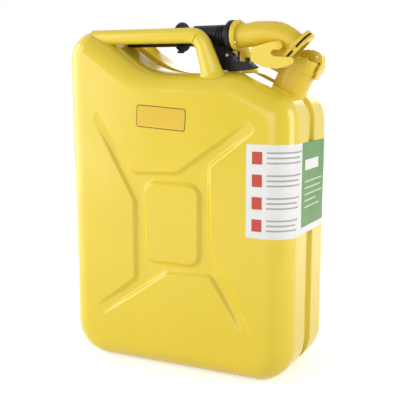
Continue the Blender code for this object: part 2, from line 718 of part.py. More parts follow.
def build_flange_joint(spout):
    """Model the seal between barrel and elbow and the screws that close it."""
    end = barrel_end()
    bore = NOZZLE_RADIUS - NOZZLE_WALL
    seal = moved(turned([
        (bore, end + GAP), (FLANGE_RADIUS - 0.5 * MM, end + GAP),
        (FLANGE_RADIUS - 0.5 * MM, end + GAP + SEAL_THICKNESS), (bore, end + GAP + SEAL_THICKNESS),
    ], 28), ALONG_X)
    finish_piece("flange_gasket", drill_screws(seal, end, SCREW_SHANK + 0.05 * MM), spout, BLACK, 0.8)
    face = elbow_start() + ELBOW_FLANGE
    profile = [
        (0, face - SCREW_LENGTH), (SCREW_SHANK, face - SCREW_LENGTH), (SCREW_SHANK, face + 0.1 * MM),
        (SCREW_HEAD, face + 0.1 * MM), (SCREW_HEAD, face + SCREW_HEAD_HEIGHT - 0.5 * MM),
        (SCREW_HEAD - 0.6 * MM, face + SCREW_HEAD_HEIGHT), (0, face + SCREW_HEAD_HEIGHT),
    ]
    for number, angle in enumerate(screw_angles(), start=1):
        screw = moved(turned(profile, 12), ALONG_X)
        place = Matrix.Translation((0, SCREW_CIRCLE * cos(angle), SCREW_CIRCLE * sin(angle)))
        finish_piece(f"flange_screw_{number}", moved(screw, place), spout, STEEL, 0.25, 1.0)


def coupling_matrix():
    """Return the frame at the end of the elbow's bend, Z along the coupling axis."""
    x = BEND_START + BEND_RADIUS * sin(BEND_ANGLE)
    z = -BEND_RADIUS * (1 - cos(BEND_ANGLE))
    return Matrix.Translation((x, 0, z)) @ Matrix.Rotation(radians(90) + BEND_ANGLE, 4, "Y")


def elbow_rings(radii, sides, start, past):
    """Return rings of an elbow tube: radii at the start, at the bend and after it."""
    first, second = radii
    stations = [(start, 0.0, 0.0, first), (BEND_START, 0.0, 0.0, second)]
    steps = 5
    for number in range(1, steps + 1):
        turn = BEND_ANGLE * number / steps
        stations.append((BEND_START + BEND_RADIUS * sin(turn), -BEND_RADIUS * (1 - cos(turn)), turn, second))
    x, z, turn, radius = stations[-1]
    stations.append((x + past * cos(turn), z - past * sin(turn), turn, radius))
    rings = []
    for x, z, turn, radius in stations:
        ring = []
        for side in range(sides):
            angle = 2 * pi * side / sides
            up = radius * sin(angle)
            ring.append((x + up * sin(turn), radius * cos(angle), z + up * cos(turn)))
        rings.append(ring)
    return rings


def lever_axle(radius, side, start, end, sides=16):
    """Return a bar on the clamping lever's axis between two distances on one side."""
    first = (LEVER_PIVOT_X, side * start, LEVER_PIVOT_Z)
    second = (LEVER_PIVOT_X, side * end, LEVER_PIVOT_Z)
    return rod(radius, first, second, sides)


def build_elbow(spout):
    """Model the cast elbow: flange, bent body, top rib and coupling collar."""
    start = elbow_start()
    body = loft(elbow_rings((ELBOW_RADIUS, ELBOW_END_RADIUS), 28, start + ELBOW_FLANGE / 2, 2 * MM), "elbow")
    disc = moved(turned([
        (0, start), (FLANGE_RADIUS, start), (FLANGE_RADIUS, start + ELBOW_FLANGE - 1 * MM),
        (FLANGE_RADIUS - 1 * MM, start + ELBOW_FLANGE), (0, start + ELBOW_FLANGE),
    ], 28), ALONG_X)
    body = combine(body, disc, "UNION")
    collar = moved(turned([
        (0, -COLLAR_CONE), (ELBOW_END_RADIUS - 1 * MM, -COLLAR_CONE), (COLLAR_RADIUS, 2 * MM),
        (COLLAR_RADIUS, COLLAR_LENGTH), (0, COLLAR_LENGTH),
    ], 32), coupling_matrix())
    body = combine(body, collar, "UNION")
    rib = plate([
        (start + 10 * MM, 5 * MM, 1 * MM), (BEND_START, 5 * MM, 1 * MM),
        (BEND_START, ELBOW_END_RADIUS + 1.4 * MM, 1 * MM), (start + 16 * MM, ELBOW_RADIUS + 1.6 * MM, 2 * MM),
        (start + 10 * MM, ELBOW_RADIUS - 0.4 * MM, 2 * MM),
    ], 3 * MM)
    body = combine(body, rib, "UNION")
    body = combine(body, lever_axle(BOSS_RADIUS, -1, CHEEK_OFFSET - GAP, GAP - CHEEK_OFFSET, 22), "UNION")
    bore = elbow_rings((ELBOW_BORE, ELBOW_BORE), 20, start - 5 * MM, COLLAR_LENGTH + 5 * MM)
    body = combine(body, loft(bore, "bore"), "DIFFERENCE")
    body = drill_screws(body, start, SCREW_SHANK + 0.05 * MM)
    rim = -FLANGE_RADIUS
    well = rod(ROD_RADIUS + GAP, (ROD_X, 0, rim - 1 * MM), (ROD_X, 0, rim + ROD_ENTRY), 14)
    body = combine(body, well, "DIFFERENCE")
    for side in (-1, 1):
        hole = lever_axle(RIVET_RADIUS + PIN_PLAY, side, CHEEK_OFFSET - RIVET_ENTRY, CHEEK_OFFSET + RIVET_ENTRY)
        body = combine(body, hole, "DIFFERENCE")
    finish_piece("elbow", body, spout, YELLOW, 0.3, 0.1)


def build_coupling(spout):
    """Model the ring seal and the open clamp plate below it."""
    place = coupling_matrix()
    low = COLLAR_LENGTH + GAP
    seal = turned([
        (ELBOW_BORE + 1 * MM, low), (COLLAR_RADIUS - 2.5 * MM, low),
        (COLLAR_RADIUS - 2.5 * MM, low + RING_SEAL_THICKNESS), (ELBOW_BORE + 1 * MM, low + RING_SEAL_THICKNESS),
    ], 28)
    finish_piece("coupling_gasket", moved(seal, place), spout, BLACK, 0.8)
    near = COLLAR_LENGTH + RING_SEAL_THICKNESS + SLOT_HEIGHT
    far = near + CLAMP_THICKNESS
    disc = turned([(0, near), (COLLAR_RADIUS, near), (COLLAR_RADIUS, far - 1 * MM), (COLLAR_RADIUS - 1 * MM, far),
                   (0, far)], 32)
    mouth = ELBOW_BORE + 3.5 * MM
    disc = combine(disc, rod(mouth, (0, 0, near - 1 * MM), (0, 0, far + 1 * MM), 28), "DIFFERENCE")
    slot = box((0, -mouth, near - 1 * MM), (2 * COLLAR_RADIUS, mouth, far + 1 * MM))
    disc = combine(disc, slot, "DIFFERENCE")
    for side in (-1, 1):
        post = box((-CLAMP_POST, side * (COLLAR_RADIUS - 1.2 * MM) - 1 * MM, COLLAR_LENGTH + GAP),
                   (CLAMP_POST, side * (COLLAR_RADIUS - 1.2 * MM) + 1 * MM, near + 1 * MM))
        disc = combine(disc, post, "UNION")
    finish_piece("clamp_plate", moved(disc, place), spout, YELLOW, 0.3, 0.1)


def build_lever(spout):
    """Model the two-cheeked clamping lever with its thumb bridge and rivets."""
    axis = frame_empty("coupling_lever_axis", (LEVER_PIVOT_X, 0, LEVER_PIVOT_Z), parent=spout)
    cheek = [
        (LEVER_LEFT, -32 * MM, 4 * MM), (128 * MM, -40 * MM, 20 * MM), (150 * MM, -43 * MM, 20 * MM),
        (172 * MM, -37 * MM, 3.8 * MM), (172 * MM, -29 * MM, 3.8 * MM), (146 * MM, -27.5 * MM, 2 * MM),
        (139 * MM, -24 * MM, 3 * MM), (144 * MM, -19.5 * MM, 2 * MM), (156 * MM, -19.5 * MM, 4 * MM),
        (156 * MM, -9.5 * MM, 4 * MM), (144 * MM, -9.5 * MM, 4 * MM), (LEVER_LEFT, -16 * MM, 3 * MM),
    ]
    lever = None
    span = CHEEK_OFFSET + CHEEK_THICKNESS
    for side in (-1, 1):
        wall = plate(cheek, CHEEK_THICKNESS, radians(20))
        wall = moved(wall, Matrix.Translation((0, side * (CHEEK_OFFSET + CHEEK_THICKNESS / 2), 0)))
        lever = wall if lever is None else combine(lever, wall, "UNION")
    bridge = box((LEVER_LEFT, -span + 0.5 * MM, BRIDGE_BOTTOM), (LEVER_LEFT + 2 * MM, span - 0.5 * MM, -18 * MM))
    lever = combine(lever, bridge, "UNION")
    lip = box((LEVER_LEFT - 7 * MM, -span + 6 * MM, -20 * MM), (LEVER_LEFT + 1 * MM, span - 6 * MM, -18 * MM))
    lever = combine(lever, lip, "UNION")
    lever = combine(lever, lever_axle(RIVET_RADIUS + PIN_PLAY, 1, -2 * span, 2 * span), "DIFFERENCE")
    lever = moved(lever, Matrix.Translation((-LEVER_PIVOT_X, 0, -LEVER_PIVOT_Z)))
    finish_piece("coupling_lever", lever, axis, PALE_YELLOW, 0.3, 0.1)
    inner = CHEEK_OFFSET - RIVET_ENTRY + GAP
    seat = span + GAP / 2
    profile = [
        (0, inner), (RIVET_RADIUS, inner), (RIVET_RADIUS, seat), (RIVET_HEAD, seat),
        (RIVET_HEAD - RIVET_HEAD_HEIGHT, seat + RIVET_HEAD_HEIGHT), (0, seat + RIVET_HEAD_HEIGHT),
    ]
    for name, side in (("lever_rivet_front", -1), ("lever_rivet_rear", 1)):
        rivet = moved(turned(profile, 16), Matrix.Rotation(radians(-90 * side), 4, "X"))
        place = Matrix.Translation((LEVER_PIVOT_X, 0, LEVER_PIVOT_Z))
        finish_piece(name, moved(rivet, place), spout, YELLOW, 0.3, 0.4)


def build_trigger(spout):
    """Model the thumb trigger, its pin and the rod that it lifts."""
    axis = frame_empty("trigger_axis", (TRIGGER_PIVOT_X, 0, TRIGGER_PIVOT_Z), parent=spout)
    back = (TRIGGER_PIVOT_X + 12 * MM, TRIGGER_PIVOT_Z - 7 * MM)
    nose = (TRIGGER_TIP - 10 * MM, TRIGGER_PIVOT_Z - 9 * MM)
    arm = [
        (TRIGGER_PIVOT_X - 4 * MM, TRIGGER_PIVOT_Z - 16 * MM, 3 * MM),
        (TRIGGER_PIVOT_X + 4 * MM, TRIGGER_PIVOT_Z - 21 * MM, 4 * MM),
        (TRIGGER_TIP - 14 * MM, -44 * MM, 2 * MM), (TRIGGER_TIP, -41 * MM, 0.6 * MM),
        (*nose, 2 * MM), (*back, 4 * MM),
        (TRIGGER_PIVOT_X + 4.5 * MM, TRIGGER_PIVOT_Z + 4.5 * MM, 4.3 * MM),
        (TRIGGER_PIVOT_X - 4.5 * MM, TRIGGER_PIVOT_Z + 4.5 * MM, 4.3 * MM),
    ]
    trigger = plate(arm, TRIGGER_WIDTH)
    slot = STRUT_WIDTH / 2 + GAP
    notch = box((TRIGGER_PIVOT_X - 12 * MM, -slot, TRIGGER_PIVOT_Z - 8 * MM),
                (TRIGGER_PIVOT_X + 8 * MM, slot, TRIGGER_PIVOT_Z + 12 * MM))
    trigger = combine(trigger, notch, "DIFFERENCE")
    trigger = combine(trigger, trigger_axle(PIN_RADIUS + PIN_PLAY, TRIGGER_WIDTH), "DIFFERENCE")
    peg = box((94 * MM, -3 * MM, -36 * MM), (97.5 * MM, 3 * MM, -28 * MM))
    trigger = combine(trigger, peg, "UNION")
    trigger = moved(trigger, Matrix.Translation((-TRIGGER_PIVOT_X, 0, -TRIGGER_PIVOT_Z)))
    finish_piece("trigger", trigger, axis, BLACK, 0.5)
    reach = TRIGGER_WIDTH / 2 + 0.8 * MM
    finish_piece("trigger_pin", trigger_axle(PIN_RADIUS, reach), spout, STEEL, 0.3, 1.0)
    share = (ROD_X - back[0]) / (nose[0] - back[0])
    foot = back[1] + (nose[1] - back[1]) * share + ROD_PLAY
    rod_mesh = rod(ROD_RADIUS, (ROD_X, 0, foot), (ROD_X, 0, -FLANGE_RADIUS + ROD_ENTRY - 3 * MM), 12)
    finish_piece("valve_rod", rod_mesh, spout, BLACK, 0.5)


def centre_on_box(root):
    """Put the frame's origin under the middle of the finished can's box."""
    bpy.context.view_layer.update()
    lows = []
    highs = []
    for piece in PARTS.objects:
        if piece.type == "MESH":
            xs = [(piece.matrix_world @ Vector(corner)).x for corner in piece.bound_box]
            lows.append(min(xs))
            highs.append(max(xs))
    root.location.x = -(min(lows) + max(highs)) / 2


def build_can():
    """Model the whole can."""
    root = frame_empty("can_frame", (0, 0, 0))
    build_shells(root)
    build_bars(root)
    neck = frame_empty("neck_frame", (NECK_X, 0, slope_height(NECK_X)), (0, SLOPE_ANGLE, 0), root)
    build_neck(neck)
    build_cap(neck)
    spout = frame_empty("spout_frame", (0, SPOUT_Y, SPOUT_HEIGHT), (0, 0, SPOUT_YAW), root)
    build_nozzle(spout)
    build_flange_joint(spout)
    build_elbow(spout)
    build_coupling(spout)
    build_lever(spout)
    build_trigger(spout)
    centre_on_box(root)


build_can()
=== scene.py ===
"""Dressed model of a pressed-steel fuel can with its pouring spout stowed on the carrying bars.

Sizes are in millimetres on the can's own axes (x along the can, y through it, z up) and become metres when a
mesh is placed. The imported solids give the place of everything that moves.
"""

import json
import logging
import math
from dataclasses import dataclass
from enum import Enum

import bmesh
import bpy
from mathutils import Matrix, Vector

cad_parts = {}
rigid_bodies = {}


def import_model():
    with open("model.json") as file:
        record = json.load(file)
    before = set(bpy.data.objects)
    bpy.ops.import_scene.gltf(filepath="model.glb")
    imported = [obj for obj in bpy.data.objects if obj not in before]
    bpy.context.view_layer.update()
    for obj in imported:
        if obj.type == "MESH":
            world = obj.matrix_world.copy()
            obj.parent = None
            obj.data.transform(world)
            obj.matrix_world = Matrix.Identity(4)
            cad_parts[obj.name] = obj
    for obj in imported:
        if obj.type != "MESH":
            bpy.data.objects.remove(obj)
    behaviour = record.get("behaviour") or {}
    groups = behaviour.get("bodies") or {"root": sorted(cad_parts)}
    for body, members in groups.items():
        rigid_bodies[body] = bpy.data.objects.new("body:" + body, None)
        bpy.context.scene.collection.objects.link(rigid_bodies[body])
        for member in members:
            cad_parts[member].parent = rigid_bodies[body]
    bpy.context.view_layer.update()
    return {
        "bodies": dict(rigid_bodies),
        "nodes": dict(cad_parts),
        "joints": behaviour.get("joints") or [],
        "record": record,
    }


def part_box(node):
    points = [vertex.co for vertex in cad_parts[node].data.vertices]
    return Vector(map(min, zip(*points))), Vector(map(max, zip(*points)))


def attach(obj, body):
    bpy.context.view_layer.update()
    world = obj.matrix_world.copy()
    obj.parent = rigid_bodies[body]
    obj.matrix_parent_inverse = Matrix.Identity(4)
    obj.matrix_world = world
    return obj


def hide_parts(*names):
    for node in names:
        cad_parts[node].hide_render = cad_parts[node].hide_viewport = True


LOG = logging.getLogger("fuel_can")
MM = 0.001
ORIGIN = Matrix.Identity(4)
UPRIGHT = Matrix.Rotation(math.radians(90), 4, "X")
WHITE = (1, 1, 1, 1)

Corner = tuple[float, float, float]
Colour = tuple[float, float, float]
Pair = tuple[float, float]
Ring = list[Vector]
Mesh = bmesh.types.BMesh
Socket = bpy.types.NodeSocket


def smooth(share: float) -> float:
    """Return a share from 0 to 1 eased at both ends."""
    return share * share * (3 - 2 * share)


class Slot(Enum):
    """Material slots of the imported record."""

    PAINT = "yellow_paint"
    PLASTIC = "black_plastic"
    RUBBER = "black_rubber"
    STEEL = "bright_steel"


class Combine(Enum):
    """Ways to combine two closed meshes."""

    CUT = "DIFFERENCE"
    JOIN = "UNION"


class NodeSheet:
    """A node tree with short calls for adding and joining nodes."""

    def __init__(self, tree: bpy.types.NodeTree) -> None:
        """Keep the tree."""
        self.tree = tree

    def feed(self, node: bpy.types.Node, inputs: dict) -> None:
        """Set or join a node's inputs.

        Args:
            node: The node.
            inputs: A constant or another node's socket for each input.
        """
        for name, value in inputs.items():
            if isinstance(value, Socket):
                self.tree.links.new(value, node.inputs[name])
            else:
                node.inputs[name].default_value = value

    def node(self, kind: str, inputs: dict, **choices: str) -> bpy.types.Node:
        """Add a node.

        Args:
            kind: The node's type, without ShaderNode in front.
            inputs: A constant or another node's socket for each input.
            choices: The node's own settings, such as its operation.

        Returns:
            The new node.
        """
        result = self.tree.nodes.new("ShaderNode" + kind)
        for name, value in choices.items():
            setattr(result, name, value)
        self.feed(result, inputs)
        return result


class Surface(NodeSheet):
    """A Principled material with noise on Object coordinates."""

    def __init__(self, name: str) -> None:
        """Start the material.

        Args:
            name: The material's name.
        """
        self.material = bpy.data.materials.new(name)
        self.material.use_nodes = True
        super().__init__(self.material.node_tree)
        self.shader = self.tree.nodes["Principled BSDF"]
        self.coordinates = self.node("TexCoord", {}).outputs["Object"]

    def noise(self, scale: float, detail: float, stretch: Corner | None = None) -> Socket:
        """Add a noise texture.

        Args:
            scale: Waves per metre.
            detail: Octaves of finer noise.
            stretch: Scale along each axis, for a grain that runs one way.

        Returns:
            The noise value's socket.
        """
        source = self.coordinates
        if stretch:
            source = self.node("Mapping", {"Scale": stretch, "Vector": source}).outputs["Vector"]
        return self.node("TexNoise", {"Scale": scale, "Detail": detail, "Vector": source}).outputs["Fac"]

    def spread(self, value: Socket, low: float, high: float) -> Socket:
        """Return a noise value with its middle range mapped onto low to high."""
        inputs = {"From Min": 0.3, "From Max": 0.7, "To Min": low, "To Max": high, "Value": value}
        return self.node("MapRange", inputs).outputs["Result"]

    def tint(self, value: Socket, first: Colour, second: Colour) -> None:
        """Colour the shader between two colours.

        Args:
            value: The noise value that chooses between them.
            first: The colour where it is low.
            second: The colour where it is high.
        """
        inputs = {"Factor": self.spread(value, 0.0, 1.0), "A": (*first, 1), "B": (*second, 1)}
        mix = self.node("Mix", inputs, data_type="RGBA")
        self.feed(self.shader, {"Base Color": mix.outputs["Result"]})

    def bump(self, value: Socket, strength: float, depth: float) -> None:
        """Join a height to the shader's normal, over any bump already there.

        Args:
            value: The height's socket.
            strength: How much of it shows.
            depth: Its height in metres.
        """
        inputs = {"Strength": strength, "Distance": depth, "Height": value}
        normal = self.shader.inputs["Normal"]
        if normal.is_linked:
            inputs["Normal"] = normal.links[0].from_socket
        self.feed(self.shader, {"Normal": self.node("Bump", inputs).outputs["Normal"]})


@dataclass(frozen=True)
class Look:
    """A finished material and the record's slot for it."""

    material: bpy.types.Material
    slot: Slot


@dataclass(frozen=True)
class Relief:
    """A fine bump: its noise's scale and detail, its strength, and its depth in metres."""

    scale: float
    detail: float
    strength: float
    depth: float
    stretch: Corner | None = None


@dataclass(frozen=True)
class Finish:
    """A finish whose colour clouds between two tones, by a noise of given scale and detail."""

    name: str
    colour: Colour
    second_colour: Colour
    roughness: float
    slot: Slot
    cloud: Pair
    # How far the roughness goes below and above its usual value.
    swing: Pair
    constants: tuple
    reliefs: tuple[Relief, ...]
    # The noise of the roughness, where it isn't the colour's.
    drift: Pair | None = None

    def look(self) -> Look:
        """Make the finish's node material.

        Returns:
            The material with its slot.
        """
        sheet = Surface(self.name)
        value = sheet.noise(*self.cloud)
        sheet.tint(value, self.colour, self.second_colour)
        if self.drift:
            value = sheet.noise(*self.drift)
        rough = sheet.spread(value, self.roughness - self.swing[0], self.roughness + self.swing[1])
        sheet.feed(sheet.shader, {"Roughness": rough, **dict(self.constants)})
        for relief in self.reliefs:
            height = sheet.noise(relief.scale, relief.detail, relief.stretch)
            sheet.bump(height, relief.strength, relief.depth)
        return Look(sheet.material, self.slot)


@dataclass(frozen=True)
class SprayedPaint(Finish):
    """Glossy sprayed enamel on steel, with faint orange peel and thin spots."""

    roughness: float = 0.2
    slot: Slot = Slot.PAINT
    cloud: Pair = (9.0, 3.0)
    swing: Pair = (0.03, 0.05)
    constants: tuple = (("Coat Weight", 0.1), ("Coat Roughness", 0.08))
    reliefs: tuple[Relief, ...] = (Relief(90.0, 0.0, 0.025, 0.0003), Relief(12.0, 0.0, 0.025, 0.003))
    drift: Pair | None = (22.0, 0.0)


@dataclass(frozen=True)
class CastPaint(SprayedPaint):
    """The same enamel, duller and with a thinner coat, on the spout, neck, cap and levers."""

    roughness: float = 0.34
    constants: tuple = (("Coat Weight", 0.08), ("Coat Roughness", 0.08))


@dataclass(frozen=True)
class MouldedPlastic(Finish):
    """Black moulded plastic or rubber with a fine spark-eroded grain."""

    roughness: float = 0.42
    slot: Slot = Slot.PLASTIC
    cloud: Pair = (60.0, 4.0)
    swing: Pair = (0.06, 0.08)
    constants: tuple = (("Specular IOR Level", 0.2),)
    reliefs: tuple[Relief, ...] = (Relief(2600.0, 2.0, 0.25, 0.0002),)


@dataclass(frozen=True)
class PlatedSteel(Finish):
    """Bright zinc-plated steel with fine drawn lines."""

    roughness: float = 0.28
    slot: Slot = Slot.STEEL
    cloud: Pair = (180.0, 3.0)
    swing: Pair = (0.06, 0.1)
    constants: tuple = (("Metallic", 1.0),)
    reliefs: tuple[Relief, ...] = (Relief(900.0, 2.0, 0.12, 0.0001, (1.0, 0.08, 1.0)),)


@dataclass(frozen=True)
class PrintedFilm(Finish):
    """Thin printed film with a satin face and a slight ripple, in the slot of the paint under it."""

    roughness: float = 0.4
    slot: Slot = Slot.PAINT
    cloud: Pair = (30.0, 3.0)
    swing: Pair = (0.04, 0.06)
    constants: tuple = (("Specular IOR Level", 0.25),)
    reliefs: tuple[Relief, ...] = (Relief(70.0, 1.0, 0.04, 0.001),)


class Finishes:
    """Every finish on the can, made once."""

    def __init__(self) -> None:
        """Make the node materials."""
        self.body = SprayedPaint("body_enamel", (0.79, 0.6, 0.03), (0.765, 0.575, 0.026)).look()
        self.cast = CastPaint("spout_enamel", (0.74, 0.53, 0.022), (0.72, 0.505, 0.018)).look()
        self.lever = CastPaint("lever_enamel", (0.78, 0.6, 0.05), (0.76, 0.57, 0.045), 0.4).look()
        black = (0.0045, 0.0042, 0.0035), (0.008, 0.0077, 0.0068)
        self.plastic = MouldedPlastic("nozzle_plastic", *black).look()
        dull_black = (0.012, 0.012, 0.011), (0.02, 0.02, 0.019)
        self.rubber = MouldedPlastic("seal_rubber", *dull_black, 0.6, Slot.RUBBER).look()
        self.steel = PlatedSteel("plated_steel", (0.78, 0.78, 0.77), (0.62, 0.62, 0.6)).look()
        self.white = PrintedFilm("label_white", (0.83, 0.82, 0.80), (0.8, 0.79, 0.77)).look()
        self.green = PrintedFilm("label_green", (0.13, 0.29, 0.085), (0.12, 0.265, 0.078)).look()
        self.grey = PrintedFilm("label_grey", (0.42, 0.42, 0.4), (0.38, 0.38, 0.36)).look()
        self.red = PrintedFilm("label_red", (0.56, 0.085, 0.055), (0.52, 0.078, 0.05)).look()
        self.pale = PrintedFilm("label_pale", (0.5, 0.6, 0.45), (0.46, 0.56, 0.42)).look()
        self.amber = PrintedFilm("plate_amber", (0.78, 0.53, 0.055), (0.76, 0.51, 0.05)).look()
        self.line = PrintedFilm("plate_line", (0.2, 0.11, 0.015), (0.17, 0.09, 0.012)).look()


class Mill:
    """Mesh work that every sub-assembly shares: outlines, lofts, turned shapes and cuts."""

    # The smallest radius that an inset leaves a corner, and the share of a wall that two corners may fill.
    sharpest_corner = 2.0
    full_wall = 0.99
    plate_step = 6.0
    turned_steps = 96
    weld = 0.001

    @staticmethod
    def offset_corners(corners: list[Corner], inset: float) -> list[Vector]:
        """Move every edge of a polygon in.

        Args:
            corners: Its corners, counter-clockwise.
            inset: How far its edges move.

        Returns:
            The new corners.
        """
        places = [Vector(corner[:2]) for corner in corners]
        result = []
        for index, here in enumerate(places):
            before = (here - places[index - 1]).normalized().orthogonal()
            after = (places[(index + 1) % len(places)] - here).normalized().orthogonal()
            result.append(here + (before + after) / (1 + before.dot(after)) * inset)
        return result

    @classmethod
    def outline(cls, corners: list[Corner], inset: float = 0.0, step: float = 5.0) -> list[Vector]:
        """Return points round a polygon with rounded corners.

        Args:
            corners: Counter-clockwise corners as first axis, second axis and radius.
            inset: How far every edge is moved in.
            step: Degrees between points on a round corner.

        Returns:
            The outline's points, as many for every inset.
        """
        places = cls.offset_corners(corners, inset)
        count = len(places)
        headings = [(places[(index + 1) % count] - places[index]).normalized() for index in range(count)]
        sweeps = [
            math.atan2(headings[index - 1].cross(headings[index]), headings[index - 1].dot(headings[index]))
            for index in range(count)
        ]
        reaches = []
        for (_, _, drawn), sweep in zip(corners, sweeps):
            radius = max(drawn - math.copysign(inset, sweep * inset), min(drawn, cls.sharpest_corner))
            reaches.append(radius * math.tan(abs(sweep) / 2))
        points = []
        for index, sweep in enumerate(sweeps):
            room = 1.0
            for other in (index - 1, (index + 1) % count):
                wall = (places[other] - places[index]).length
                room = min(room, cls.full_wall * wall / (reaches[index] + reaches[other]))
            reach = reaches[index] * room
            radius = reach / math.tan(abs(sweep) / 2)
            into = headings[index - 1]
            inward = into.orthogonal() * math.copysign(1.0, sweep)
            centre = places[index] - into * reach + inward * radius
            pieces = max(3, round(math.degrees(abs(sweep)) / step))
            for piece in range(pieces + 1):
                points.append(centre + Matrix.Rotation(sweep * piece / pieces, 2) @ (-inward * radius))
        return points

    @staticmethod
    def spaced(points: list[Vector], counts: list[int]) -> list[Vector]:
        """Divide the stretches of a closed outline.

        Args:
            points: The outline's points.
            counts: How many parts each stretch gets.

        Returns:
            The old and new points in turn.
        """
        result = []
        for start, end, count in zip(points, points[1:] + points[:1], counts):
            result += [start.lerp(end, number / count) for number in range(count)]
        return result

    @staticmethod
    def tube_ring(station: Corner, radii: Pair, sides: int, offset: float = 0.0) -> Ring:
        """Return an oval ring across a tube that runs in an upright plane.

        Args:
            station: Its middle's x and z, and its downward heading.
            radii: Half its width and half its height.
            sides: How many points it has.
            offset: Its middle's y.

        Returns:
            The ring's points.
        """
        x, z, turn = station
        ring = []
        for side in range(sides):
            angle = 2 * math.pi * side / sides
            up = math.sin(angle) * radii[1]
            ring.append(Vector((
                x + up * math.sin(turn), offset + math.cos(angle) * radii[0], z + up * math.cos(turn),
            )))
        return ring

    @staticmethod
    def loft(rings: list[Ring]) -> Mesh:
        """Extrude a first ring from station to station and fill both ends.

        Args:
            rings: Rings of as many points each, in millimetres.

        Returns:
            The closed mesh, with its faces pointing outwards.
        """
        form = bmesh.new()
        order = form.verts.layers.int.new("order")
        ring = [form.verts.new(place) for place in rings[0]]
        for index, vertex in enumerate(ring):
            vertex[order] = index
        edges = [form.edges.new((ring[index - 1], ring[index])) for index in range(len(ring))]
        bmesh.ops.contextual_create(form, geom=edges)
        for places in rings[1:]:
            grown = bmesh.ops.extrude_edge_only(form, edges=edges)["geom"]
            ring = [item for item in grown if isinstance(item, bmesh.types.BMVert)]
            ring.sort(key=lambda vertex: vertex[order])
            for vertex, place in zip(ring, places):
                vertex.co = place
            members = set(ring)
            edges = [
                item for item in grown
                if isinstance(item, bmesh.types.BMEdge) and members.issuperset(item.verts)
            ]
        bmesh.ops.contextual_create(form, geom=edges)
        bmesh.ops.recalc_face_normals(form, faces=form.faces)
        return form

    @staticmethod
    def rod(radius: float, start: Vector, end: Vector, sides: int = 48) -> Mesh:
        """Return a round bar.

        Args:
            radius: Its radius.
            start: The middle of one end.
            end: The middle of the other.
            sides: How many sides it has.

        Returns:
            The closed bar.
        """
        form = bmesh.new()
        axis = end - start
        place = Matrix.Translation((start + end) / 2) @ axis.to_track_quat("Z", "Y").to_matrix().to_4x4()
        bmesh.ops.create_cone(
            form, cap_ends=True, segments=sides, radius1=radius, radius2=radius, depth=axis.length,
            matrix=place,
        )
        return form

    @classmethod
    def turned(cls, profile: list[Pair], place: Matrix) -> Mesh:
        """Spin a closed profile about the Z axis of a place.

        Args:
            profile: Points as radius and height.
            place: Where the shape stands.

        Returns:
            The turned shape.
        """
        form = bmesh.new()
        points = [form.verts.new((radius, 0.0, height)) for radius, height in profile]
        edges = [form.edges.new((points[index - 1], points[index])) for index in range(len(points))]
        bmesh.ops.spin(
            form, geom=points + edges, cent=(0, 0, 0), axis=(0, 0, 1), angle=2 * math.pi,
            steps=cls.turned_steps, use_merge=True,
        )
        bmesh.ops.remove_doubles(form, verts=form.verts, dist=cls.weld)
        bmesh.ops.recalc_face_normals(form, faces=form.faces)
        bmesh.ops.transform(form, matrix=place, verts=form.verts)
        return form

    @staticmethod
    def rectangle(half_width: float, half_height: float, radius: float, rise: float = 0.0) -> list[Corner]:
        """Return a rounded rectangle's corners, counter-clockwise about a middle raised by rise."""
        signs = (-1, -1), (1, -1), (1, 1), (-1, 1)
        return [(x * half_width, z * half_height + rise, radius) for x, z in signs]

    @classmethod
    def slab(cls, corners: list[Corner], thickness: float, place: Matrix) -> Mesh:
        """Return a plate with rounded corners.

        Args:
            corners: Counter-clockwise corners on the place's X and Y axes.
            thickness: Its height along the place's Z axis, centred.
            place: Where it stands.

        Returns:
            The closed plate.
        """
        form = bmesh.new()
        points = cls.outline(corners, 0.0, cls.plate_step)
        face = form.faces.new([form.verts.new((point.x, point.y, -thickness / 2)) for point in points])
        grown = bmesh.ops.extrude_face_region(form, geom=[face])["geom"]
        top = [item for item in grown if isinstance(item, bmesh.types.BMVert)]
        bmesh.ops.translate(form, verts=top, vec=(0, 0, thickness))
        bmesh.ops.recalc_face_normals(form, faces=form.faces)
        bmesh.ops.transform(form, matrix=place, verts=form.verts)
        return form

    @staticmethod
    def block(low: Corner | Vector, high: Corner | Vector, place: Matrix = ORIGIN) -> Mesh:
        """Return a box.

        Args:
            low: Its lowest corner on the place's axes.
            high: Its highest corner.
            place: Where it stands.

        Returns:
            The closed box.
        """
        form = bmesh.new()
        middle = (Vector(low) + Vector(high)) / 2
        sizes = Vector(high) - Vector(low)
        bmesh.ops.create_cube(form, size=1.0, matrix=place @ Matrix.LocRotScale(middle, None, sizes))
        return form

    @staticmethod
    def to_object(form: Mesh, name: str) -> bpy.types.Object:
        """Make a scene object of a mesh and free the mesh's working form.

        Args:
            form: The mesh.
            name: The object's name.

        Returns:
            The object, in the scene.
        """
        mesh = bpy.data.meshes.new(name)
        form.to_mesh(mesh)
        form.free()
        result = bpy.data.objects.new(name, mesh)
        bpy.context.scene.collection.objects.link(result)
        return result

    @classmethod
    def combine(cls, form: Mesh, tool: Mesh, way: Combine) -> Mesh:
        """Combine two closed meshes.

        Args:
            form: The mesh that is kept.
            tool: The mesh that cuts it or joins it.
            way: Which of the two.

        Returns:
            The combined mesh.
        """
        used = [cls.to_object(form, "base"), cls.to_object(tool, "tool")]
        modifier = used[0].modifiers.new("combine", "BOOLEAN")
        modifier.operation = way.value
        modifier.solver = "EXACT"
        modifier.object = used[1]
        modifier.use_hole_tolerant = True
        bpy.context.view_layer.update()
        evaluated = used[0].evaluated_get(bpy.context.evaluated_depsgraph_get())
        result = bmesh.new()
        result.from_mesh(evaluated.to_mesh())
        evaluated.to_mesh_clear()
        for item in used:
            mesh = item.data
            bpy.data.objects.remove(item)
            bpy.data.meshes.remove(mesh)
        bmesh.ops.remove_doubles(result, verts=result.verts, dist=cls.weld)
        return result

